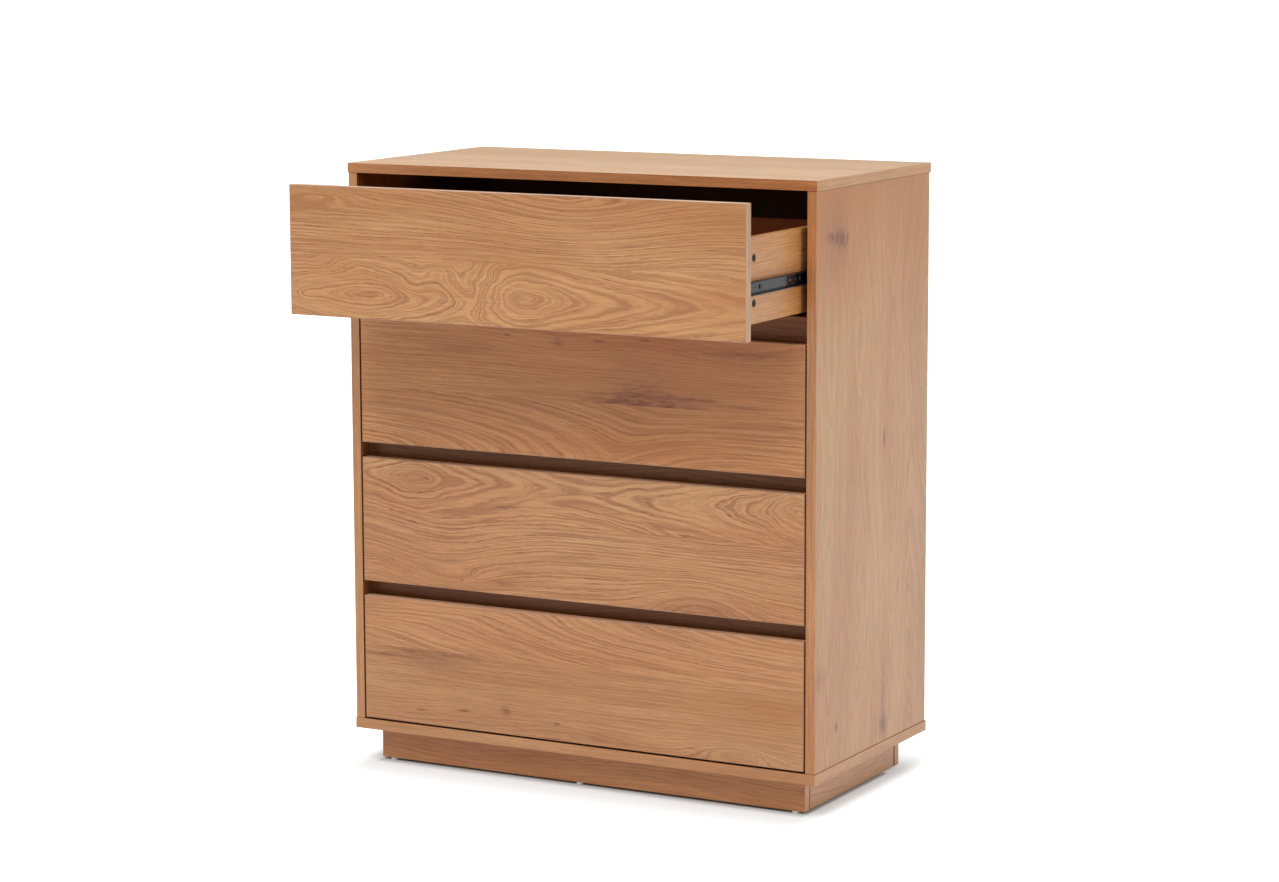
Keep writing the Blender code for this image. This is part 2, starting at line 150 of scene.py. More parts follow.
def blend_colours(tree, share, first, second, how="MIX"):
    """Two colours mixed by a share."""
    inputs = {0: share, 6: first, 7: second}
    return add_node(tree, "Mix", inputs, data_type="RGBA", blend_type=how).outputs[2]


def oak_print():
    """The printed oak: growth rings as dark lines, fibres that follow them, pores, changes of tone."""
    tree = bpy.data.node_groups.new("oak_print", "ShaderNodeTree")
    for name, kind in (("Place", "Vector"), ("Ring", "Float"), ("Pale", "Color"), ("Tan", "Color"),
                       ("Line", "Color"), ("Contrast", "Float")):
        tree.interface.new_socket(name, in_out="INPUT", socket_type="NodeSocket" + kind)
    for name, kind in (("Colour", "Color"), ("Relief", "Float")):
        tree.interface.new_socket(name, in_out="OUTPUT", socket_type="NodeSocket" + kind)
    given = tree.nodes.new("NodeGroupInput").outputs
    place = given["Place"]
    along = add_node(tree, "SeparateXYZ", {0: place}).outputs[0]
    flow = add_node(tree, "CombineXYZ", {0: along, 1: given["Ring"]}).outputs[0]
    along_ring = add_node(tree, "CombineXYZ", {0: given["Ring"]}).outputs[0]
    wander = stretched_noise(tree, along_ring, RING_CLOUDS)
    wander = calculate(tree, "MULTIPLY", calculate(tree, "SUBTRACT", wander, 0.5), RING_WANDER)
    turns = calculate(tree, "DIVIDE", calculate(tree, "ADD", given["Ring"], wander), RING_WIDTH)
    phase = calculate(tree, "FRACT", turns)
    year = calculate(tree, "FLOOR", turns)
    rise = ease(tree, phase, *LINE_RISE)
    fall = ease(tree, phase, *LINE_FALL, low=1.0, high=0.0)
    strength = add_node(tree, "TexWhiteNoise", {"W": year}, noise_dimensions="1D").outputs["Value"]
    strength = calculate(tree, "MULTIPLY_ADD", strength, 1 - FAINTEST_LINE, FAINTEST_LINE)
    broken = stepped_noise(tree, flow, BREAKS, FAINTEST_BREAK)
    dashes = stepped_noise(tree, place, DASHES, FAINTEST_DASH)
    line = calculate(tree, "MULTIPLY", calculate(tree, "MULTIPLY", rise, fall), strength)
    line = calculate(tree, "MULTIPLY", calculate(tree, "MULTIPLY", line, broken), dashes)
    thread = stepped_noise(tree, flow, THREADS)
    fibre = stretched_noise(tree, place, FIBRES, 3.0)
    pores = stepped_noise(tree, place, PORES)
    crowded = calculate(tree, "MULTIPLY_ADD", line, 1 - PORES_OFF_LINE, PORES_OFF_LINE)
    pores = calculate(tree, "MULTIPLY", pores, crowded)
    broad = stepped_noise(tree, place, BROAD_TONES)
    wood = blend_colours(tree, broad, given["Pale"], given["Tan"])
    grey = calculate(tree, "MULTIPLY_ADD", fibre, FIBRE_CONTRAST, DARKEST_FIBRE)
    shade = add_node(tree, "CombineColor", {0: grey, 1: grey, 2: grey}).outputs[0]
    wood = blend_colours(tree, 1.0, wood, shade, "MULTIPLY")
    dark = calculate(tree, "MAXIMUM", line, calculate(tree, "MULTIPLY", thread, THREAD_STRENGTH))
    wood = blend_colours(tree, calculate(tree, "MULTIPLY", dark, given["Contrast"]), wood, given["Line"])
    wood = blend_colours(tree, calculate(tree, "MULTIPLY", pores, PORE_STRENGTH), wood, given["Line"])
    sunk = calculate(tree, "MULTIPLY", line, LINE_RELIEF)
    sunk = calculate(tree, "MULTIPLY_ADD", pores, PORE_RELIEF, sunk)
    result = tree.nodes.new("NodeGroupOutput")
    tree.links.new(wood, result.inputs["Colour"])
    tree.links.new(sunk, result.inputs["Relief"])
    return tree


def board_place(tree, spot, corner, turn):
    """Places on a board: along the grain, across it, and into its thickness, from its corner."""
    inputs = {"Vector": spot, "Location": corner, "Rotation": turn}
    return add_node(tree, "Mapping", inputs, vector_type="TEXTURE").outputs[0]


def hill(tree, place, along, across, length, width):
    """A soft round hill, 1 at its middle, on a stretched oval of the board."""
    offset = move(tree, "SUBTRACT", place, (along, across, 0.0))
    offset = move(tree, "MULTIPLY", offset, (1 / length, 1 / width, 0.0))
    inputs = {0: offset, 1: offset}
    square = add_node(tree, "VectorMath", inputs, operation="DOT_PRODUCT").outputs["Value"]
    return calculate(tree, "EXPONENT", calculate(tree, "MULTIPLY", square, -1.0))


def end_finish(tree, shader):
    """Ends a finish with its shader."""
    result = tree.nodes.new("ShaderNodeOutputMaterial")
    tree.links.new(shader.outputs[0], result.inputs["Surface"])


def lay_on_surface(tree, colour, relief, roughness, depth, strength=RELIEF_STRENGTH):
    """Ends a finish: its colour, its roughness and its relief go to one surface shader."""
    bump = add_node(tree, "Bump", {"Height": relief, "Strength": strength, "Distance": depth})
    inputs = {"Base Color": colour, "Roughness": roughness, "Normal": bump.outputs[0]}
    surface = add_node(tree, "BsdfPrincipled", inputs)
    end_finish(tree, surface)
    return surface


def start_finish(name):
    """A material with an empty tree of nodes but for its object's coordinates."""
    finish = bpy.data.materials.new(name)
    finish.use_nodes = True
    tree = finish.node_tree
    tree.nodes.clear()
    return finish, tree, add_node(tree, "TexCoord").outputs["Object"]


PRINT = oak_print()
OAK_PALE = screen_colour(211, 156, 105)
OAK_TAN = screen_colour(199, 138, 88)
OAK_LINE = screen_colour(146, 86, 49)
KNOT_AND_SHADE_COLOUR = screen_colour(120, 60, 26)
OAK_STAIN = screen_colour(186, 108, 58)
ORIGIN = (0.0, 0.0, 0.0)
GRAIN_ALONG_X = (0.0, 0.0, 0.0)
GRAIN_ALONG_Y = (0.0, 0.0, math.radians(90))
GRAIN_UPRIGHT = (0.0, math.radians(-90), 0.0)


def soft_distance(tree, value, start, blunt):
    """How far a value is from its start, rounded off close to it."""
    gap = calculate(tree, "SUBTRACT", value, start)
    return calculate(tree, "SQRT", calculate(tree, "MULTIPLY_ADD", gap, gap, blunt ** 2))


def rings_of_stave(tree, along, across, eyes):
    """How far out in the tree each place lies: the nearest eye's rings, drawn out along the grain."""
    ring = None
    for eye_along, eye_across, density, first, blunt, roundness, before, after in eyes:
        away = soft_distance(tree, across, eye_across, RING_NOSE)
        if before[0] or after[0]:
            out = soft_distance(tree, along, eye_along, blunt)
            past = calculate(tree, "GREATER_THAN", along, eye_along)
            sides = []
            for slope, power in (before, after):
                steepness = slope * SLOPE_TAKEN_AT ** (1 - power)
                sides.append((power, steepness, -steepness * blunt ** power))
            power, steepness, level = (add_node(tree, "Mix", {0: past, 2: one, 3: other}).outputs[0]
                                       for one, other in zip(*sides))
            out = calculate(tree, "POWER", out, power)
            reach = calculate(tree, "MULTIPLY_ADD", out, steepness, level)
            powers = [calculate(tree, "POWER", part, roundness) for part in (away, reach)]
            away = calculate(tree, "POWER", calculate(tree, "ADD", *powers), 1 / roundness)
        one = calculate(tree, "MULTIPLY_ADD", away, density, first)
        ring = one if ring is None else calculate(tree, "SMOOTH_MIN", ring, one, EYE_MERGING)
    return ring


def oak_sheet(name, corner, turn, staves, seed=0.0, contrast=0.95, saturation=1.0, stains_and_shade=(), hue=0.5,
              stain_and_shade_colour=OAK_STAIN):
    """Printed oak for one board, from its lowest stave up. Each stave gives its lower edge, its tone,
    how wavy it is, how strong its lines are, the eyes of its rings, the swirls that push the rings,
    and its knot marks. An eye is its place along and across, how dense its rings are, the first one, how
    blunt and how round they are, and their slope and power before and after the eye. A swirl is its
    place, its length and width, and its push. A knot or a stain is its place, its length and width,
    and its strength. Some knot and stain hills are painted shade, given the same way."""
    finish, tree, spot = start_finish(name)
    place = board_place(tree, spot, corner, turn)
    parts = add_node(tree, "SeparateXYZ", {0: place}).outputs
    across = calculate(tree, "ADD", parts[1], parts[2])
    flat = add_node(tree, "CombineXYZ", {0: parts[0], 1: across}).outputs[0]
    shift = (seed, seed, 0.0)
    seeded = move(tree, "ADD", place, shift)
    seeded_flat = move(tree, "ADD", flat, shift)
    waves = []
    for offset, clouds, size in WAVES:
        moved = move(tree, "ADD", seeded_flat, (offset, offset, 0.0))
        wave = calculate(tree, "SUBTRACT", stretched_noise(tree, moved, clouds), 0.5)
        waves.append(calculate(tree, "MULTIPLY", wave, size))
    long_wave, short_wave, fine_wave, wave_along, rag_along, rag_across = waves
    drifting = calculate(tree, "ADD", calculate(tree, "ADD", across, long_wave), rag_across)
    ragged_along = calculate(tree, "ADD", parts[0], rag_along)
    wavy = calculate(tree, "ADD", short_wave, fine_wave)
    stave = None
    for lower_edge, stave_tone, waviness, lines, eyes, swirls, knots_and_shade in staves:
        wavy_across = calculate(tree, "MULTIPLY_ADD", wavy, waviness, drifting)
        wavy_along = calculate(tree, "MULTIPLY_ADD", wave_along, waviness, ragged_along)
        ring = rings_of_stave(tree, wavy_along, wavy_across, eyes)
        for swirl_along, swirl_across, length, width, push in swirls:
            bulge = hill(tree, flat, swirl_along, swirl_across, length, width)
            ring = calculate(tree, "MULTIPLY_ADD", bulge, push, ring)
        dark = 0.0
        for knot_and_shade_along, knot_and_shade_across, length, width, darkness in knots_and_shade:
            share = hill(tree, flat, knot_and_shade_along, knot_and_shade_across, length, width)
            dark = calculate(tree, "MULTIPLY_ADD", share, darkness, dark)
        look = (ring, stave_tone, lines * contrast, dark)
        if stave is None:
            stave = look
        else:
            above = calculate(tree, "GREATER_THAN", across, lower_edge)
            stave = [add_node(tree, "Mix", {0: above, 2: one, 3: other}).outputs[0]
                     for one, other in zip(stave, look)]
    ring, tone, lines, dark = stave
    inputs = {"Place": seeded, "Ring": ring, "Pale": OAK_PALE, "Tan": OAK_TAN, "Line": OAK_LINE,
              "Contrast": lines}
    group = add_node(tree, "Group", inputs, node_tree=PRINT)
    inputs = {"Hue": hue, "Saturation": saturation, "Value": tone, "Color": group.outputs["Colour"]}
    toned = add_node(tree, "HueSaturation", inputs).outputs[0]
    for stain_and_shade_along, stain_and_shade_across, length, width, strength in stains_and_shade:
        share = hill(tree, flat, stain_and_shade_along, stain_and_shade_across, length, width)
        toned = blend_colours(tree, calculate(tree, "MULTIPLY", share, strength), toned, stain_and_shade_colour)
    patches = stretched_noise(tree, seeded_flat, KNOT_PATCHES, 3.0)
    uneven = ease(tree, patches, 0.30, 0.66, 0.50, 1.25)
    toned = blend_colours(tree, calculate(tree, "MULTIPLY", dark, uneven), toned, KNOT_AND_SHADE_COLOUR)
    lay_on_surface(tree, toned, group.outputs["Relief"], LACQUER_ROUGHNESS, PORE_DEPTH)
    return finish


STRAIGHT = ((0.0, -0.30, 1.0, 0.0, 0.1, 1.0, (0.0, 1.0), (0.0, 1.0)),)
FROM_BELOW = -1.0
BAND_WAVINESS = 0.4
BAND_CONTRAST = 0.6


def plain_oak(name, turn, tone, saturation=1.0, hue=0.5, seed=0.0, waviness=BAND_WAVINESS,
              contrast=BAND_CONTRAST, corner=ORIGIN, eyes=STRAIGHT):
    """The same print with its lines straight along the board, as on the bands glued to its edges."""
    staves = ((FROM_BELOW, tone, waviness, 1.0, eyes, (), ()),)
    return oak_sheet(name, corner, turn, staves, seed, contrast, saturation, hue=hue)


def glue_and_joint_shade(name, clouds, dark, pale, roughness):
    """Glue as it dries in a joint, slightly uneven; also the dark beads of painted shade in the plinth's
    joints.
    """
    finish, tree, spot = start_finish(name)
    cloud = stretched_noise(tree, spot, clouds, 2.0)
    lay_on_surface(tree, blend_colours(tree, cloud, dark, pale), cloud, roughness, PORE_DEPTH)
    return finish


CHEST_MIDDLE = Vector((0.0, 0.09, 0.47))
BAND_TONE = 0.93
BANDS = [
    plain_oak("edge_band_along_x", GRAIN_ALONG_X, BAND_TONE),
    plain_oak("edge_band_along_y", GRAIN_ALONG_Y, BAND_TONE),
    plain_oak("edge_band_upright", GRAIN_UPRIGHT, BAND_TONE),
]
GLUE_DARK = screen_colour(104, 66, 42)
GLUE_PALE = screen_colour(142, 96, 64)
GLUE = glue_and_joint_shade("glue_line", GLUE_CLOUDS, GLUE_DARK, GLUE_PALE, GLUE_ROUGHNESS)
# The places in a board's list of finishes: its face, its three bands, the glue and its inner face
FACE_PLACE = 0
BANDS_PLACE = 1
GLUE_PLACE = 4
INNER_PLACE = 5


def longest_axis(face):
    """The axis along which a face is longest."""
    corners = [vert.co for vert in face.verts]
    spans = [max(c[axis] for c in corners) - min(c[axis] for c in corners) for axis in range(3)]
    return spans.index(max(spans))


def finish_piece(shape, name, materials):
    """Turns a shape into a named object that stands at the origin."""
    mesh = bpy.data.meshes.new(name)
    shape.to_mesh(mesh)
    shape.free()
    for material in materials:
        mesh.materials.append(material)
    piece = bpy.data.objects.new(name, mesh)
    bpy.context.scene.collection.objects.link(piece)
    return piece


def box_shape(low, high):
    """A plain box between two corners."""
    shape = bmesh.new()
    bmesh.ops.create_cube(shape, size=1.0)
    bmesh.ops.scale(shape, vec=high - low, verts=shape.verts)
    bmesh.ops.translate(shape, vec=(low + high) / 2, verts=shape.verts)
    return shape


def banded_board(name, low, high, sheet, groove=None, bands=None, inner_sheet=None):
    """A faced board with banded edges: the band's end shows as a strip around each face."""
    shape = box_shape(low, high)
    size = high - low
    thin = list(size).index(min(size))
    corner_edges = list(shape.edges)
    faces = [face for face in shape.faces if abs(face.normal[thin]) > 0.5]
    for face in shape.faces:
        face.material_index = FACE_PLACE if face in faces else BANDS_PLACE + longest_axis(face)
    for strip in bmesh.ops.inset_individual(shape, faces=faces, thickness=BAND_THICKNESS)["faces"]:
        strip.material_index = BANDS_PLACE + longest_axis(strip)
    for strip in bmesh.ops.inset_individual(shape, faces=faces, thickness=GLUE_LINE)["faces"]:
        strip.material_index = GLUE_PLACE
    if inner_sheet:
        inner = min(faces, key=lambda face: (face.calc_center_median() - CHEST_MIDDLE).length)
        inner.material_index = INNER_PLACE
    if groove:
        cut_groove(shape, max(faces, key=lambda face: face.normal[thin]), *groove)
    bmesh.ops.bevel(shape, geom=corner_edges, offset=EDGE_ROUNDING, segments=ROUNDING_STEPS,
                    profile=0.5, affect="EDGES", material=-1)
    return finish_piece(shape, name, [sheet, *(bands or BANDS), GLUE, inner_sheet or sheet])


def replace_board(node, body, sheet, groove=None, bands=None, inner_sheet=None):
    """A banded board in the place of its CAD node."""
    low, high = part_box(node)
    piece = banded_board(f"{node}_board", low, high, sheet, groove, bands, inner_sheet)
    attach(piece, body)
    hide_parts(node)


SIDE_SATURATION = 0.96
SIDE_CONTRAST = 0.55
SIDE_HUE = 0.503
# Painted shade: the inner faces of the sides get a dark, redder print that stands for the shade inside
# the carcass.
SHADED_INSIDE_TONE = 0.43
SHADED_INSIDE_PRINT = {"saturation": 1.12, "hue": 0.492, "waviness": 0.6, "contrast": 0.9}
SIDE_STAVES = (
    (FROM_BELOW, 0.885, 0.8, 1.0,
     ((0.62, 0.050, 0.8, 0.0, 0.08, 1.3, (0.40, 0.5), (0.40, 0.5)),
      (0.22, 0.045, 0.8, 0.003, 0.08, 1.3, (0.40, 0.5), (0.40, 0.5))), (),
     ((0.788, 0.052, 0.007, 0.024, 0.35), (0.784, 0.072, 0.008, 0.024, 0.50),
      (0.779, 0.090, 0.011, 0.016, 0.70), (0.785, 0.068, 0.055, 0.045, 0.36),
      (0.056, 0.074, 0.006, 0.005, 0.85), (0.140, 0.016, 0.016, 0.012, 0.40))),
    (0.108, 0.90, 0.8, 1.0,
     ((0.62, 0.150, 0.8, 0.0, 0.05, 1.3, (0.50, 0.5), (0.50, 0.5)),
      (0.26, 0.145, 0.8, 0.0, 0.05, 1.3, (0.50, 0.5), (0.50, 0.5))), (), ()),
    (0.206, 0.92, 0.8, 1.0,
     ((0.80, 0.266, 0.8, 0.0, 0.04, 1.3, (0.50, 0.5), (0.50, 0.5)),
      (0.52, 0.266, 0.8, 0.002, 0.05, 1.3, (0.40, 0.5), (0.40, 0.5))), (),
     ((0.468, 0.237, 0.014, 0.004, 0.75), (0.028, 0.240, 0.016, 0.014, 0.75),
      (0.080, 0.240, 0.070, 0.009, 0.45), (0.235, 0.290, 0.012, 0.002, 0.60))),
    (0.320, 0.89, 1.2, 1.1,
     ((0.62, 0.390, 0.8, 0.0, 0.03, 1.3, (0.60, 0.5), (0.60, 0.5)),
      (-0.05, 0.335, 0.7, 0.0, 0.03, 1.3, (0.55, 0.5), (0.55, 0.5))), (), ()),
)
# The first of these hills, broad over the upper part of each side, is painted shade; the smaller ones,
# round the knot, are print.
SIDE_STAIN_AND_SHADE_COLOUR = screen_colour(178, 104, 26)
SHADE_AND_STAINS_ON_SIDES = ((0.910, 0.100, 0.170, 0.380, 0.80), (0.740, 0.090, 0.070, 0.080, 0.30),
               (0.780, 0.020, 0.110, 0.060, 0.28), (0.760, 0.385, 0.150, 0.060, 0.34))
SHADED_INSIDE_SHEET = plain_oak("oak_shaded_inside_upright", GRAIN_UPRIGHT, SHADED_INSIDE_TONE, seed=1.7, **SHADED_INSIDE_PRINT)
# Painted shade: the right side's front and rear bands are printed darker than the left's, to offset the
# light from the right.
RIGHT_SHADED_BAND_TONE = 0.87
RIGHT_SHADED_BAND_SATURATION = 1.05
RIGHT_SHADED_BAND_HUE = 0.495
RIGHT_SHADED_BAND = plain_oak("edge_band_right_shaded", GRAIN_UPRIGHT, RIGHT_SHADED_BAND_TONE, RIGHT_SHADED_BAND_SATURATION,
                       RIGHT_SHADED_BAND_HUE)

for word, upright_band in (("left", BANDS[2]), ("right", RIGHT_SHADED_BAND)):
    low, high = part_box(f"side_{word}")
    corner = (high.x, low.y, low.z)
    sheet = oak_sheet(f"oak_side_{word}", corner, GRAIN_UPRIGHT, SIDE_STAVES, seed=4.3,
                      contrast=SIDE_CONTRAST, saturation=SIDE_SATURATION, stains_and_shade=SHADE_AND_STAINS_ON_SIDES,
                      hue=SIDE_HUE, stain_and_shade_colour=SIDE_STAIN_AND_SHADE_COLOUR)
    bands = [*BANDS[:2], upright_band]
    replace_board(f"side_{word}", "carcass", sheet, bands=bands, inner_sheet=SHADED_INSIDE_SHEET)

# Top and bottom panels
# Two flat panels of the same faced chipboard, their grain running across the chest's width.
# Both reach a millimetre past the sides, and cam bolts in the side panels hold them.
TOP_STAVES = (
    (FROM_BELOW, 1.085, 0.8, 1.0, STRAIGHT, ((0.20, 0.050, 0.20, 0.030, 0.020),
                                             (0.62, 0.040, 0.14, 0.030, -0.016)), ()),
    (0.095, 1.03, 1.2, 1.1,
     ((0.18, 0.145, 0.7, 0.0, 0.03, 1.3, (0.50, 0.5), (0.50, 0.5)),
      (0.50, 0.145, 0.7, 0.003, 0.04, 1.3, (0.45, 0.5), (0.45, 0.5))), (), ()),
    (0.205, 0.975, 0.8, 1.0, STRAIGHT, ((0.40, 0.260, 0.20, 0.030, 0.022),), ()),
    (0.310, 0.985, 1.2, 1.1,
     ((0.30, 0.355, 0.7, 0.0, 0.03, 1.3, (0.50, 0.5), (0.50, 0.5)),
      (0.62, 0.355, 0.7, 0.0, 0.03, 1.3, (0.50, 0.5), (0.50, 0.5))), (), ()),
)
TOP_CONTRAST = 0.9
TOP_SATURATION = 0.98
TOP_HUE = 0.512
TOP_STAIN = screen_colour(182, 124, 26)
TOP_STAINS = ((0.070, 0.290, 0.190, 0.080, 0.70), (0.360, 0.400, 0.560, 0.105, 0.62),
              (0.450, 0.255, 0.350, 0.040, 0.30))
TOP_BAND_TONE = 0.81
TOP_BAND_SATURATION = 1.08
TOP_BAND_HUE = 0.491
SIDE_BAND_TONE = 0.895
SIDE_BAND_SATURATION = 1.01
LOW_BAND_TONE = 0.895
DARK_BAND = plain_oak("edge_band_top", GRAIN_ALONG_X, TOP_BAND_TONE, TOP_BAND_SATURATION, TOP_BAND_HUE)
LOW_BAND = plain_oak("edge_band_bottom", GRAIN_ALONG_X, LOW_BAND_TONE)
SIDE_BAND = plain_oak("edge_band_sides", GRAIN_ALONG_Y, SIDE_BAND_TONE, SIDE_BAND_SATURATION)
# Painted shade: the inner faces of the top and bottom panels get a darker print still, standing for the
# shade inside the carcass.
SHADED_LEVEL_TONE = 0.29
SHADED_LEVEL_SHEET = plain_oak("oak_shaded_inside_level", GRAIN_ALONG_X, SHADED_LEVEL_TONE, seed=5.2, **SHADED_INSIDE_PRINT)

for word, slot, first_band in (("top", "oak_top", DARK_BAND), ("bottom", "oak_carcass", LOW_BAND)):
    low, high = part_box(f"{word}_panel")
    corner = (low.x, low.y, high.z)
    sheet = oak_sheet(f"oak_{word}", corner, GRAIN_ALONG_X, TOP_STAVES, seed=2.9,
                      contrast=TOP_CONTRAST, saturation=TOP_SATURATION, stains_and_shade=TOP_STAINS,
                      hue=TOP_HUE, stain_and_shade_colour=TOP_STAIN)
    bands = [first_band, SIDE_BAND, BANDS[2]]
    replace_board(f"{word}_panel", "carcass", sheet, bands=bands, inner_sheet=SHADED_LEVEL_SHEET)

# Rails
# Three narrow boards across the opening, set back behind the finger gaps between the fronts.
# They stiffen the sides, and dowels and cams at their ends hold them.
UPRIGHT_ALONG_X = (math.radians(90), 0.0, 0.0)
# Painted shade: the rails are printed dark and red, standing for the shade behind the finger gaps.
RAIL_SHADE_TONE = 0.38
RAIL_CONTRAST = 0.9
RAIL_SATURATION = 1.10
RAIL_GLOSS = 0.25
RAIL_HUE = 0.491
RAIL_STAVES = (
    (FROM_BELOW, RAIL_SHADE_TONE, 0.8, 1.1, STRAIGHT, ((0.22, 0.03, 0.15, 0.03, 0.015),
                                                 (0.55, 0.04, 0.12, 0.03, -0.012)), ()),
)
for number in (1, 2, 3):
    low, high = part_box(f"rail_{number}")
    sheet = oak_sheet(f"shaded_oak_rail_{number}", low, UPRIGHT_ALONG_X, RAIL_STAVES,
                      seed=1.3 * number, contrast=RAIL_CONTRAST, saturation=RAIL_SATURATION, hue=RAIL_HUE)
    sheet.node_tree.nodes["Principled BSDF"].inputs["Specular IOR Level"].default_value = RAIL_GLOSS
    replace_board(f"rail_{number}", "carcass", sheet)

# Back panel
# One sheet of thin brown hardboard, nailed to the rear edges of the sides.
# Its nail heads stand just out of the sheet.
BACK_RECESS = 0.0003
NAIL_RADIUS = 0.0024
NAIL_SPACING = 0.11
NAIL_INSET = 0.0055
NAIL_SIDES = 12
NAIL_TAPER = 0.8
BACK_ROUNDING_STEPS = 2
FIBRE_CLOUDS = (60.0, 60.0, 60.0)
FIBRE_SPECKLE = (700.0, 700.0, 700.0)
FIBRE_DEPTH = 0.0002
SPECKLE_SHARE = 0.5
CLOUD_SHARE = 0.6
ROLLING_MARKS = (700.0, 25.0, 700.0)
MARK_ROUGHNESS = 0.12
MARK_STRENGTH = 0.2
MARK_DEPTH = 0.00005


def hardboard(name, dark, pale):
    """Pressed wood fibre: fine speckle over soft clouds."""
    finish, tree, spot = start_finish(name)
    cloud = stretched_noise(tree, spot, FIBRE_CLOUDS, 4.0)
    speckle = stretched_noise(tree, spot, FIBRE_SPECKLE, 2.0)
    share = calculate(tree, "MULTIPLY", cloud, CLOUD_SHARE)
    share = calculate(tree, "MULTIPLY_ADD", speckle, SPECKLE_SHARE, share)
    colour = blend_colours(tree, share, dark, pale)
    rough = ease(tree, cloud, 0.3, 0.7, low=0.55, high=0.75)
    lay_on_surface(tree, colour, speckle, rough, FIBRE_DEPTH)
    return finish


def bright_steel(name, dark, pale, roughness):
    """Plain or plated steel with faint rolling marks."""
    finish, tree, spot = start_finish(name)
    marks = stretched_noise(tree, spot, ROLLING_MARKS, 2.0)
    colour = blend_colours(tree, marks, dark, pale)
    rough = calculate(tree, "MULTIPLY_ADD", marks, MARK_ROUGHNESS, roughness)
    surface = lay_on_surface(tree, colour, marks, rough, MARK_DEPTH, MARK_STRENGTH)
    surface.inputs["Metallic"].default_value = 1.0
    return finish


low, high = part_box("back_panel")
shape = box_shape(low, Vector((high.x, high.y - BACK_RECESS, high.z)))
bmesh.ops.bevel(shape, geom=list(shape.edges), offset=EDGE_ROUNDING, segments=BACK_ROUNDING_STEPS,
                profile=0.5, affect="EDGES", material=-1)
sheet = hardboard("brown_hardboard", screen_colour(98, 66, 44), screen_colour(152, 110, 78))
back = finish_piece(shape, "back_sheet", [sheet])
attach(back, "carcass")
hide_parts("back_panel")

shape = bmesh.new()
nail_count = round((high.z - low.z) / NAIL_SPACING)
for side in (low.x + NAIL_INSET, high.x - NAIL_INSET):
    for index in range(nail_count):
        height = low.z + (index + 0.5) * (high.z - low.z) / nail_count
        centre = Matrix.Translation((side, high.y - BACK_RECESS / 2, height))
        bmesh.ops.create_cone(shape, cap_ends=True, segments=NAIL_SIDES, radius1=NAIL_RADIUS * NAIL_TAPER,
                              radius2=NAIL_RADIUS, depth=BACK_RECESS,
                              matrix=centre @ Matrix.Rotation(math.radians(90), 4, "X"))
NAIL_STEEL = bright_steel("nail_steel", (0.35, 0.34, 0.32, 1), (0.50, 0.49, 0.47, 1), roughness=0.35)
nails = finish_piece(shape, "back_nails", [NAIL_STEEL])
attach(nails, "carcass")

# Plinth
# Four boards set back under the bottom panel, the side boards butted between front and rear.
# The front and rear stand on three small nylon glides each, which lift the wood off the floor.
GLIDE_HEIGHT = 0.004
GLIDE_RADIUS = 0.006
GLIDE_END_DISTANCE = 0.018
GLIDE_OFF_CENTRE = 0.016
GLIDE_SIDES = 32
GLIDE_ROUNDING = 0.001
UPRIGHT_ALONG_Y = (math.radians(90), 0.0, math.radians(90))
PLINTH_STAVES = (
    (FROM_BELOW, 0.875, 0.5, 1.0, STRAIGHT, ((0.16, 0.010, 0.12, 0.030, 0.014),
                                             (0.48, 0.030, 0.16, 0.040, -0.010)), ()),
)
PLINTH_CONTRAST = 0.75
PLINTH_HUE = 0.494
PLINTH_SATURATION = 1.04
JOINT_SUNK = 0.0018
JOINT_CLEARANCE = 0.00005
FRONT_JOINT_WIDENING = 0.0014
REAR_JOINT_WIDENING = 0.0030
# Painted shade: dark beads sunk in the gaps where the plinth's side boards meet its front and rear stand
# for the shadow in those joints.
JOINT_SHADE_CLOUDS = (400.0, 400.0, 400.0)
JOINT_SHADE_ROUGHNESS = 0.8
JOINT_SHADE_DARK = screen_colour(34, 19, 12)
JOINT_SHADE_PALE = screen_colour(52, 31, 21)
NYLON_CLOUDS = (300.0, 300.0, 300.0)
LIGHT_THROUGH_NYLON = 0.4
LIGHT_DEPTH_IN_NYLON = 0.002


def nylon():
    """Milky nylon that lets a little light through."""
    finish, tree, spot = start_finish("milky_nylon")
    cloud = stretched_noise(tree, spot, NYLON_CLOUDS, 2.0)
    colour = blend_colours(tree, cloud, screen_colour(240, 240, 238), screen_colour(250, 250, 249))
    rough = ease(tree, cloud, 0.3, 0.7, low=0.32, high=0.42)
    inputs = {"Base Color": colour, "Roughness": rough}
    surface = add_node(tree, "BsdfPrincipled", inputs)
    surface.inputs["Subsurface Weight"].default_value = LIGHT_THROUGH_NYLON
    surface.inputs["Subsurface Radius"].default_value = (LIGHT_DEPTH_IN_NYLON,) * 3
    surface.inputs["Subsurface Scale"].default_value = 1.0
    end_finish(tree, surface)
    return finish


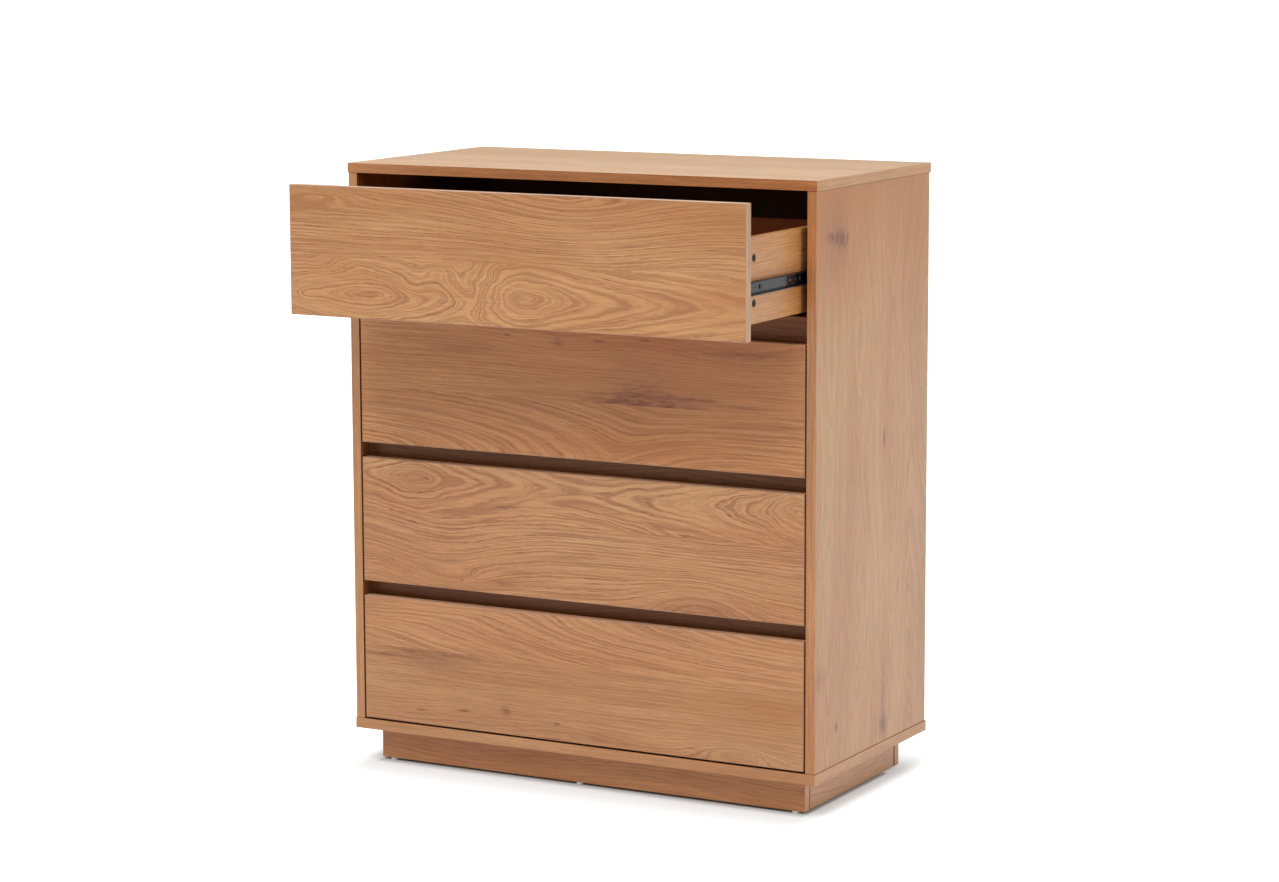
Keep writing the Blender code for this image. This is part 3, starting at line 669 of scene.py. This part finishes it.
NYLON = nylon()
JOINT_SHADE = glue_and_joint_shade("painted_joint_shade", JOINT_SHADE_CLOUDS, JOINT_SHADE_DARK, JOINT_SHADE_PALE, JOINT_SHADE_ROUGHNESS)
for word in ("front", "rear"):
    node = f"plinth_{word}"
    low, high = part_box(node)
    board_low = Vector((low.x, low.y, low.z + GLIDE_HEIGHT))
    sheet = oak_sheet(f"oak_{node}", board_low, UPRIGHT_ALONG_X, PLINTH_STAVES, seed=0.4,
                      contrast=PLINTH_CONTRAST, saturation=PLINTH_SATURATION, hue=PLINTH_HUE)
    board = banded_board(f"{node}_board", board_low, high, sheet)
    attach(board, "carcass")
    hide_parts(node)
    shape = bmesh.new()
    for along in (low.x + GLIDE_END_DISTANCE, -GLIDE_OFF_CENTRE, high.x - GLIDE_END_DISTANCE):
        centre = Matrix.Translation((along, (low.y + high.y) / 2, low.z + GLIDE_HEIGHT / 2))
        bmesh.ops.create_cone(shape, cap_ends=True, segments=GLIDE_SIDES, radius1=GLIDE_RADIUS,
                              radius2=GLIDE_RADIUS, depth=GLIDE_HEIGHT, matrix=centre)
    rims = [edge for edge in shape.edges if all(abs(v.co.z - low.z) < 1e-6 for v in edge.verts)]
    bmesh.ops.bevel(shape, geom=rims, offset=GLIDE_ROUNDING, segments=ROUNDING_STEPS, profile=0.5,
                    affect="EDGES", material=-1)
    glides = finish_piece(shape, f"{node}_glides", [NYLON])
    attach(glides, "carcass")
    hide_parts(node)

for word in ("left", "right"):
    node = f"plinth_{word}"
    low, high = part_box(node)
    corner = (high.x, low.y, low.z)
    sheet = oak_sheet(f"oak_{node}", corner, UPRIGHT_ALONG_Y, PLINTH_STAVES, seed=6.1,
                      contrast=PLINTH_CONTRAST, saturation=SIDE_SATURATION)
    low.y += FRONT_JOINT_WIDENING
    high.y -= REAR_JOINT_WIDENING
    board = banded_board(f"{node}_board", low, high, sheet)
    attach(board, "carcass")
    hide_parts(node)
    # The beads of painted shade in this side board's two joints.
    joints = bmesh.new()
    for start, end in ((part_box("plinth_front")[1].y, low.y), (high.y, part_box("plinth_rear")[0].y)):
        joint_low = Vector((low.x + JOINT_SUNK, start + JOINT_CLEARANCE, low.z + JOINT_SUNK))
        joint_high = Vector((high.x - JOINT_SUNK, end - JOINT_CLEARANCE, high.z - JOINT_SUNK))
        bead = box_shape(joint_low, joint_high)
        mesh = bpy.data.meshes.new("bead")
        bead.to_mesh(mesh)
        bead.free()
        joints.from_mesh(mesh)
    joints = finish_piece(joints, f"{node}_joints", [JOINT_SHADE])
    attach(joints, "carcass")

# Drawer fronts
# Four equal boards of faced chipboard, each a different stretch of the printed oak.
# Two wide staves show on each. A groove in the rear face holds the drawer's base.
GROOVE_DEPTH = 0.006
GROOVE_LOW = 0.034
GROOVE_HEIGHT = 0.0036
GROOVE_REACH = 0.3674
FRONT_STAVES = {
    1: ((FROM_BELOW, 1.00, 0.8, 0.88,
         ((0.133, 0.037, 0.95, 0.0, 0.012, 1.3, (0.22, 1.2), (0.22, 1.2)),
          (0.405, 0.042, 0.72, 0.0, 0.010, 1.6, (0.80, 1.0), (0.44, 0.4))),
         ((0.055, 0.078, 0.035, 0.014, 0.010), (0.028, 0.030, 0.030, 0.012, -0.010),
          (0.115, 0.080, 0.030, 0.010, -0.008), (0.215, 0.050, 0.028, 0.020, 0.010),
          (0.262, 0.078, 0.022, 0.014, -0.012), (0.305, 0.050, 0.024, 0.018, 0.010),
          (0.330, 0.014, 0.030, 0.012, -0.010)), ()),
        (0.093, 0.955, 0.35, 0.95, STRAIGHT,
         ((0.040, 0.181, 0.080, 0.014, -0.024), (0.480, 0.175, 0.170, 0.060, 0.034),
          (0.551, 0.200, 0.050, 0.010, -0.010), (0.700, 0.120, 0.120, 0.050, -0.010)),
         ((0.551, 0.191, 0.022, 0.003, 0.45), (0.270, 0.180, 0.060, 0.010, 0.18)))),
    # Front 2 lies in the shadow of the open drawer above: its stave tones are painted lighter against
    # that shade, and its widest, faintest knot hill is painted shadow, not a knot.
    2: ((FROM_BELOW, 1.04, 0.5, 1.0,
         ((-0.020, -0.004, 0.85, 0.0, 0.020, 2.0, (0.200, 1.0), (0.200, 1.0)),
          (0.700, -0.030, 0.95, 0.004, 0.020, 2.0, (0.270, 1.0), (0.270, 1.0))), (), ()),
        (0.088, 1.03, 0.35, 0.8, STRAIGHT,
         ((0.350, 0.175, 0.080, 0.018, 0.012), (0.665, 0.170, 0.140, 0.030, 0.022)),
         ((0.435, 0.087, 0.055, 0.016, 0.50), (0.495, 0.094, 0.062, 0.034, 0.66),
          (0.562, 0.087, 0.050, 0.014, 0.48), (0.591, 0.103, 0.032, 0.003, 0.60),
          (0.650, 0.097, 0.030, 0.003, 0.45), (0.420, 0.180, 0.011, 0.0018, 0.95),
          (0.499, 0.186, 0.008, 0.0018, 0.95), (0.350, 0.175, 0.009, 0.007, 0.55),
          (0.262, 0.182, 0.006, 0.0018, 0.95), (0.190, 0.157, 0.050, 0.006, 0.35),
          # The last hill on the next line is painted shadow of the open drawer above.
          (0.665, 0.175, 0.070, 0.007, 0.50), (0.640, 0.172, 0.200, 0.050, 0.15)))),
    3: ((FROM_BELOW, 0.96, 0.5, 1.0, STRAIGHT,
         ((0.150, 0.060, 0.110, 0.060, 0.026), (0.165, 0.022, 0.050, 0.012, 0.020),
          (0.590, 0.010, 0.090, 0.040, -0.044), (0.020, 0.0, 0.050, 0.040, -0.020),
          (0.420, 0.050, 0.150, 0.050, -0.010)),
         ((0.179, 0.016, 0.003, 0.002, 0.90), (0.250, 0.018, 0.022, 0.006, 0.40),
          (0.590, 0.004, 0.080, 0.012, 0.35), (0.300, 0.036, 0.070, 0.004, 0.25))),
        (0.115, 1.02, 1.2, 0.98,
         ((0.094, 0.171, 0.62, 0.0, 0.022, 1.3, (0.50, 0.5), (0.50, 0.5)),
          (0.340, 0.050, 0.95, -0.046, 0.020, 1.0, (0.075, 2.0), (0.075, 2.0)),
          (0.752, 0.165, 0.80, -0.018, 0.010, 1.4, (1.090, 0.2), (1.090, 0.2))), (),
         ((0.372, 0.170, 0.022, 0.008, 0.35),))),
    4: ((FROM_BELOW, 0.875, 0.35, 0.7, ((0.0, 0.42, 1.0, 0.0, 0.1, 1.0, (0.0, 1.0), (0.0, 1.0)),),
         ((0.651, 0.016, 0.070, 0.016, 0.026), (0.340, 0.018, 0.090, 0.014, 0.014),
          (0.180, 0.030, 0.080, 0.020, 0.012)),
         ((0.075, 0.116, 0.045, 0.014, 0.28), (0.125, 0.110, 0.060, 0.028, 0.40),
          (0.185, 0.116, 0.040, 0.014, 0.28), (0.030, 0.104, 0.040, 0.003, 0.55),
          (0.255, 0.037, 0.008, 0.008, 0.60), (0.180, 0.029, 0.013, 0.0018, 0.95),
          (0.103, 0.022, 0.009, 0.0018, 0.90), (0.345, 0.026, 0.006, 0.002, 0.80),
          (0.430, 0.014, 0.045, 0.007, 0.30))),
        (0.118, 0.97, 0.5, 0.95,
         ((0.800, 0.205, 0.90, 0.0, 0.050, 2.0, (0.157, 1.0), (0.157, 1.0)),
          (0.0, 0.310, 1.00, -0.050, 0.100, 1.0, (0.0, 1.0), (0.0, 1.0))), (), ())),
}
FRONT_CONTRAST = {1: 1.3, 2: 1.15, 3: 1.25, 4: 1.15}
# Front 2's higher saturation, and its hue below, paint the warm shade under the open drawer above.
FRONT_SATURATION = {1: 1.0, 2: 1.04, 3: 1.0, 4: 1.0}
BROWN_STAIN = screen_colour(168, 104, 50)
# The red colour serves front 2 only, as the colour of its painted shadow.
RED_SHADE_COLOUR = screen_colour(182, 92, 36)
FRONT_STAIN_AND_SHADE_COLOUR = {1: BROWN_STAIN, 2: RED_SHADE_COLOUR, 3: BROWN_STAIN, 4: BROWN_STAIN}
SHADE_AND_STAINS_ON_FRONTS = {
    1: ((0.080, 0.178, 0.230, 0.034, 0.44), (0.720, 0.165, 0.160, 0.055, 0.44),
        (0.390, 0.092, 0.140, 0.020, 0.42), (0.740, 0.070, 0.070, 0.025, 0.30)),
    # Front 2's hills are mostly painted shadow of the open drawer above.
    2: ((0.560, 0.190, 0.280, 0.050, 0.62), (0.630, 0.100, 0.190, 0.060, 0.30),
        (0.450, 0.025, 0.180, 0.028, 0.34)),
    3: ((0.560, 0.060, 0.180, 0.030, 0.16),),
    4: ((0.720, 0.085, 0.140, 0.034, 0.58), (0.660, 0.180, 0.120, 0.030, 0.24),
        (0.400, 0.075, 0.300, 0.028, 0.18)),
}
FRONT_HUE = {1: 0.502, 2: 0.498, 3: 0.499, 4: 0.499}
END_BAND_SATURATION = 0.88
# Painted highlight: the bands along the fronts' top and bottom edges are printed paler and less
# saturated, as a lit top edge looks.
PALE_HIGHLIGHT_BAND_TONE = 1.06
PALE_HIGHLIGHT_BAND_SATURATION = 0.80
PALE_HIGHLIGHT_BAND = plain_oak("edge_band_front", GRAIN_ALONG_X, PALE_HIGHLIGHT_BAND_TONE, PALE_HIGHLIGHT_BAND_SATURATION)
END_BAND = plain_oak("edge_band_front_ends", GRAIN_UPRIGHT, BAND_TONE, END_BAND_SATURATION)
FRONT_BANDS = [PALE_HIGHLIGHT_BAND, BANDS[1], END_BAND]


def cut_groove(shape, rear, reach, low, high, depth):
    """A long groove sunk into a board's rear face."""
    pieces = [rear]
    for place, direction in (((-reach, 0, 0), (1, 0, 0)), ((reach, 0, 0), (1, 0, 0)),
                             ((0, 0, low), (0, 0, 1)), ((0, 0, high), (0, 0, 1))):
        geometry = set(pieces)
        for face in pieces:
            geometry.update(face.edges)
            geometry.update(face.verts)
        cut = bmesh.ops.bisect_plane(shape, geom=list(geometry), plane_co=place, plane_no=direction)
        pieces = [item for item in cut["geom"] if isinstance(item, bmesh.types.BMFace)]
    middle = Vector((0, rear.calc_center_median().y, (low + high) / 2))
    bottom = min(pieces, key=lambda face: (face.calc_center_median() - middle).length)
    bmesh.ops.inset_individual(shape, faces=[bottom], thickness=0.0, depth=-depth)


for number in (1, 2, 3, 4):
    node = f"drawer_{number}_front"
    low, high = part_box(node)
    sheet = oak_sheet(f"oak_front_{number}", low, UPRIGHT_ALONG_X, FRONT_STAVES[number],
                      seed=0.9 * number, contrast=FRONT_CONTRAST[number],
                      saturation=FRONT_SATURATION[number], stains_and_shade=SHADE_AND_STAINS_ON_FRONTS[number],
                      hue=FRONT_HUE[number], stain_and_shade_colour=FRONT_STAIN_AND_SHADE_COLOUR[number])
    groove = (GROOVE_REACH, low.z + GROOVE_LOW, low.z + GROOVE_LOW + GROOVE_HEIGHT, GROOVE_DEPTH)
    replace_board(node, f"drawer_{number}", sheet, groove, FRONT_BANDS)

# Drawer boxes
# Thin faced boards in a finer print: two sides and a back, joined with cams and dowels.
# The base is a sheet of thin hardboard with a pale face, slid into grooves on all four walls.
BOX_TONE = 1.0
# Painted shade: the drawer backs are printed dark and red, standing for the shade inside each drawer.
REAR_SHADE_TONE = 0.34
BOX_SATURATION = 1.06
REAR_SHADE_SATURATION = 1.30
REAR_SHADE_HUE = 0.478
BOX_LINES = ((0.0, -0.30, 2.2, 0.0, 0.1, 1.0, (0.0, 1.0), (0.0, 1.0)),)
BOX_PRINT = {"waviness": 0.3, "contrast": 0.85, "corner": (-0.5, -0.5, 0.0), "eyes": BOX_LINES}


def dress(node, material):
    """Gives a CAD node its finish."""
    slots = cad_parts[node].data.materials
    slots.clear()
    slots.append(material)


SIDE_LAMINATE = plain_oak("box_laminate_sides", UPRIGHT_ALONG_Y, BOX_TONE, BOX_SATURATION,
                          **BOX_PRINT)
SHADED_BACK_LAMINATE = plain_oak("shaded_box_laminate_back", UPRIGHT_ALONG_X, REAR_SHADE_TONE, REAR_SHADE_SATURATION,
                          REAR_SHADE_HUE, **BOX_PRINT)
BASE_SHEET = hardboard("pale_base_sheet", screen_colour(186, 150, 118), screen_colour(214, 182, 150))
for number in (1, 2, 3, 4):
    dress(f"drawer_{number}_side_left", SIDE_LAMINATE)
    dress(f"drawer_{number}_side_right", SIDE_LAMINATE)
    dress(f"drawer_{number}_back", SHADED_BACK_LAMINATE)
    dress(f"drawer_{number}_base", BASE_SHEET)

# Cam locks
# Two turned cams of dark zinc in the front end of each drawer side, sunk just below its face.
# A cross slot turns each cam onto the bolt that stands in the drawer front.
CAM_RADIUS = 0.0057
CAM_THICKNESS = 0.008
CAM_SUNK = 0.0006
CAM_SETBACK = 0.0237
CAM_SPACING = 0.064
CAM_RIM = 0.0004
CAM_SLOT_REACH = 0.0034
CAM_SLOT_WIDTH = 0.0013
CAM_SLOT_DEPTH = 0.0026
CAM_TURN = math.radians(35)
DISC_SIDES = 28


def cross_slot_disc(radius, thickness, rim, reach, width, depth):
    """A disc facing up along Z, its rim rounded, with a cross-shaped slot in its face."""
    disc = bmesh.new()
    bmesh.ops.create_cone(disc, cap_ends=True, segments=DISC_SIDES, radius1=radius, radius2=radius,
                          depth=thickness)
    bmesh.ops.translate(disc, vec=(0, 0, -thickness / 2), verts=disc.verts)
    rims = [edge for edge in disc.edges if all(abs(v.co.z) < 1e-7 for v in edge.verts)]
    bmesh.ops.bevel(disc, geom=rims, offset=rim, segments=2, profile=0.5, affect="EDGES", material=-1)
    faces = [face for face in disc.faces if face.normal.z > 0.99]
    for direction in ((1, 0, 0), (0, 1, 0)):
        for distance in (-reach, -width / 2, width / 2, reach):
            geometry = set(faces)
            for face in faces:
                geometry.update(face.edges)
                geometry.update(face.verts)
            place = Vector(direction) * distance
            cut = bmesh.ops.bisect_plane(disc, geom=list(geometry), plane_co=place, plane_no=direction)
            faces = [item for item in cut["geom"] if isinstance(item, bmesh.types.BMFace)]
    arms = []
    for face in faces:
        middle = face.calc_center_median()
        near = max(abs(middle.x), abs(middle.y)) < reach
        if near and min(abs(middle.x), abs(middle.y)) < width / 2:
            arms.append(face)
    bmesh.ops.inset_region(disc, faces=arms, thickness=0.0, depth=-depth, use_even_offset=True)
    mesh = bpy.data.meshes.new("disc")
    disc.to_mesh(mesh)
    disc.free()
    return mesh


def add_disc(shape, disc, centre, outward, turn):
    """Adds a copy of a disc at its place, turned about its middle and facing left or right."""
    placed = disc.copy()
    facing = Matrix.Rotation(math.radians(90 * outward), 4, "Y") @ Matrix.Rotation(turn, 4, "Z")
    placed.transform(Matrix.Translation(centre) @ facing)
    shape.from_mesh(placed)


DARK_ZINC = bright_steel("dark_zinc", (0.03, 0.03, 0.031, 1), (0.06, 0.06, 0.061, 1), roughness=0.5)
CAM = cross_slot_disc(CAM_RADIUS, CAM_THICKNESS, CAM_RIM, CAM_SLOT_REACH, CAM_SLOT_WIDTH, CAM_SLOT_DEPTH)
for number in (1, 2, 3, 4):
    for word, outward in (("left", -1), ("right", 1)):
        low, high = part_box(f"drawer_{number}_side_{word}")
        face = high.x if outward > 0 else low.x
        shape = bmesh.new()
        for level in (-1, 1):
            height = (low.z + high.z + level * CAM_SPACING) / 2
            centre = (face - outward * CAM_SUNK, low.y + CAM_SETBACK, height)
            add_disc(shape, CAM, centre, outward, CAM_TURN)
        cams = finish_piece(shape, f"drawer_{number}_cams_{word}", [DARK_ZINC])
        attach(cams, f"drawer_{number}")

# Drawer slides
# Ball-bearing slides of rolled steel, painted black: a track on the carcass side, a member on the
# drawer, and a cage of balls that rolls between them. Pan-head screws hold the member to the drawer.
SCREW_FROM_FRONT = 0.039
SCREW_FROM_REAR = 0.036
SCREW_RADIUS = 0.0034
SCREW_THICKNESS = 0.0016
SCREW_RIM = 0.0008
SCREW_SLOT_REACH = 0.0018
SCREW_SLOT_WIDTH = 0.0008
SCREW_SLOT_DEPTH = 0.0010
SCREW_SHARE_OUT = 0.6
SCREW_TURN = math.radians(20)
WEB_FACE = 0.0013
# Each stud: its distance from the member's front end, half its length and half its height
STUD_SPOTS = ((0.1332, 0.0010, 0.0010), (0.1498, 0.0012, 0.0012), (0.1655, 0.0010, 0.0028))
PAINT_GLOSS = 0.23
STUD_PROUD = 0.0002
STUD_THICKNESS = 0.0003
STUD_SIDES = 20
PAINT_ROUGHNESS = 0.12
PEEL_CLOUDS = (450.0, 450.0, 450.0)
PEEL_DEPTH = 0.000005


def black_paint():
    """Black paint on rolled steel, with a very fine orange-peel surface."""
    finish, tree, spot = start_finish("black_slide_paint")
    peel = stretched_noise(tree, spot, PEEL_CLOUDS, 2.0)
    colour = blend_colours(tree, peel, screen_colour(14, 14, 15), screen_colour(24, 25, 26))
    rough = ease(tree, peel, 0.3, 0.7, low=PAINT_ROUGHNESS, high=PAINT_ROUGHNESS + 0.05)
    surface = lay_on_surface(tree, colour, peel, rough, PEEL_DEPTH)
    surface.inputs["Specular IOR Level"].default_value = PAINT_GLOSS
    return finish


BLACK_PAINT = black_paint()
CAGE_STEEL = bright_steel("cage_steel", (0.42, 0.42, 0.43, 1), (0.55, 0.55, 0.56, 1), roughness=0.3)
SCREW_HEAD = cross_slot_disc(SCREW_RADIUS, SCREW_THICKNESS, SCREW_RIM, SCREW_SLOT_REACH,
                             SCREW_SLOT_WIDTH, SCREW_SLOT_DEPTH)
BRIGHT_STUD = bright_steel("bright_stud", (0.62, 0.60, 0.56, 1), (0.78, 0.76, 0.72, 1), roughness=0.3)
BLACK_SCREW = bright_steel("black_screw", (0.03, 0.03, 0.03, 1), (0.06, 0.06, 0.06, 1), roughness=0.35)
for number in (1, 2, 3, 4):
    for word, outward in (("left", -1), ("right", 1)):
        dress(f"slide_{number}_track_{word}", BLACK_PAINT)
        dress(f"slide_{number}_member_{word}", BLACK_PAINT)
        dress(f"slide_{number}_cage_{word}", CAGE_STEEL)
        low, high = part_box(f"slide_{number}_member_{word}")
        web = low.x + WEB_FACE if outward > 0 else high.x - WEB_FACE
        shape = bmesh.new()
        for along in (low.y + SCREW_FROM_FRONT, (low.y + high.y) / 2, high.y - SCREW_FROM_REAR):
            centre = (web + outward * SCREW_THICKNESS * SCREW_SHARE_OUT, along, (low.z + high.z) / 2)
            add_disc(shape, SCREW_HEAD, centre, outward, SCREW_TURN)
        screws = finish_piece(shape, f"slide_{number}_screws_{word}", [BLACK_SCREW])
        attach(screws, f"drawer_{number}")
        shape = bmesh.new()
        for along, half_length, half_height in STUD_SPOTS:
            middle = web + outward * (STUD_PROUD - STUD_THICKNESS / 2)
            place = Matrix.Translation((middle, low.y + along, (low.z + high.z) / 2))
            place = place @ Matrix.Diagonal((1.0, half_length, half_height, 1.0))
            place = place @ Matrix.Rotation(math.radians(90), 4, "Y")
            bmesh.ops.create_cone(shape, cap_ends=True, segments=STUD_SIDES, radius1=1.0, radius2=1.0,
                                  depth=STUD_THICKNESS, matrix=place)
        studs = finish_piece(shape, f"slide_{number}_studs_{word}", [BRIGHT_STUD])
        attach(studs, f"drawer_{number}")

# Floor and light
# A plain white floor with soft light from above and from the right, as in a studio.
# The camera and all reflections see white around the chest, and its shadow on the floor.
FLOOR_HALF = 14.0
FLOOR_PAPER = (0.715, 0.762, 0.785, 1)
FLOOR_LIFT = 0.26
FIRST_LIFT_BY = 0.020
# The shadow keeps its depth on this stretch of floor and fades around it, faster at the sides
SHADOW_MIDDLE = (0.0, 0.06, 0.0)
SHADOW_HALF = (0.37, 0.14, 1.0)
SIDEWAYS_FASTER = (3.4, 1.0, 1.0)
WHITE_FROM = 0.02
WHITE_BY = 0.26
HORIZON_LIGHT = 0.20
CEILING_LIGHT = 0.80


def seen_directly(tree):
    """One where the camera, a reflection or a clear material sees the surface, and zero elsewhere."""
    path = add_node(tree, "LightPath").outputs
    seen = calculate(tree, "MAXIMUM", path["Is Camera Ray"], path["Is Glossy Ray"])
    return calculate(tree, "MAXIMUM", seen, path["Is Transmission Ray"])


def white_paper():
    """White studio paper that goes over into plain white further from the chest."""
    finish, tree, spot = start_finish("white_floor")
    offset = move(tree, "ABSOLUTE", move(tree, "SUBTRACT", spot, SHADOW_MIDDLE))
    offset = move(tree, "MAXIMUM", move(tree, "SUBTRACT", offset, SHADOW_HALF), ORIGIN)
    offset = move(tree, "MULTIPLY", offset, SIDEWAYS_FASTER)
    distance = add_node(tree, "VectorMath", {0: offset}, operation="LENGTH").outputs["Value"]
    near = ease(tree, distance, 0.0, FIRST_LIFT_BY, high=FLOOR_LIFT)
    far = ease(tree, distance, WHITE_FROM, WHITE_BY, high=1.0 - FLOOR_LIFT)
    lift = calculate(tree, "MULTIPLY", calculate(tree, "ADD", near, far), seen_directly(tree))
    glow = add_node(tree, "Emission", {"Strength": lift})
    lit = add_node(tree, "BsdfDiffuse", {"Color": FLOOR_PAPER})
    end_finish(tree, add_node(tree, "AddShader", {0: lit.outputs[0], 1: glow.outputs[0]}))
    return finish


shape = bmesh.new()
bmesh.ops.create_grid(shape, x_segments=1, y_segments=1, size=FLOOR_HALF)
floor = finish_piece(shape, "studio_floor", [white_paper()])

room = bpy.data.worlds.new("studio")
bpy.context.scene.world = room
room.use_nodes = True
tree = room.node_tree
tree.nodes.clear()
direction = add_node(tree, "TexCoord").outputs["Generated"]
height = add_node(tree, "SeparateXYZ", {0: direction}).outputs[2]
inputs = {"Value": height, "To Min": HORIZON_LIGHT, "To Max": CEILING_LIGHT}
sky = add_node(tree, "MapRange", inputs).outputs[0]
brightness = add_node(tree, "Mix", {0: seen_directly(tree), 2: sky, 3: 1.0}).outputs[0]
walls = add_node(tree, "Background", {"Color": (1, 1, 1, 1), "Strength": brightness}).outputs[0]
result = tree.nodes.new("ShaderNodeOutputWorld")
tree.links.new(walls, result.inputs["Surface"])


def soft_light(name, place, aim, width, height, power):
    """A large soft lamp that faces a point of the chest."""
    lamp = bpy.data.lights.new(name, "AREA")
    lamp.shape = "RECTANGLE"
    lamp.size = width
    lamp.size_y = height
    lamp.energy = power
    holder = bpy.data.objects.new(name, lamp)
    holder.location = place
    holder.rotation_euler = (Vector(aim) - Vector(place)).to_track_quat("-Z", "Y").to_euler()
    bpy.context.scene.collection.objects.link(holder)


LIGHTS_AIM = (0.0, 0.0, 0.5)
soft_light("overhead_light", place=(0.1, -3.8, 5.4), aim=LIGHTS_AIM, width=3.0, height=3.0, power=188)
soft_light("right_light", place=(5.5, -0.6, 2.2), aim=LIGHTS_AIM, width=1.2, height=1.8, power=64)

# Camera
# A long lens, a little above the chest and to its right.
LENS = 98.84
CAMERA_PLACE = Vector((2.5750, -4.6284, 1.3392))
CAMERA_AIM = Vector((0.0514, 0.0, 0.5270))
CAMERA_TILT = math.radians(-0.18)
lens = bpy.data.cameras.new("camera")
lens.lens = LENS
camera = bpy.data.objects.new("camera", lens)
camera.location = CAMERA_PLACE
level = (CAMERA_AIM - CAMERA_PLACE).to_track_quat("-Z", "Y")
camera.rotation_mode = "QUATERNION"
camera.rotation_quaternion = level @ Quaternion((0, 0, 1), CAMERA_TILT)
bpy.context.scene.collection.objects.link(camera)
bpy.context.scene.camera = camera
bpy.context.scene.view_settings.view_transform = "Standard"
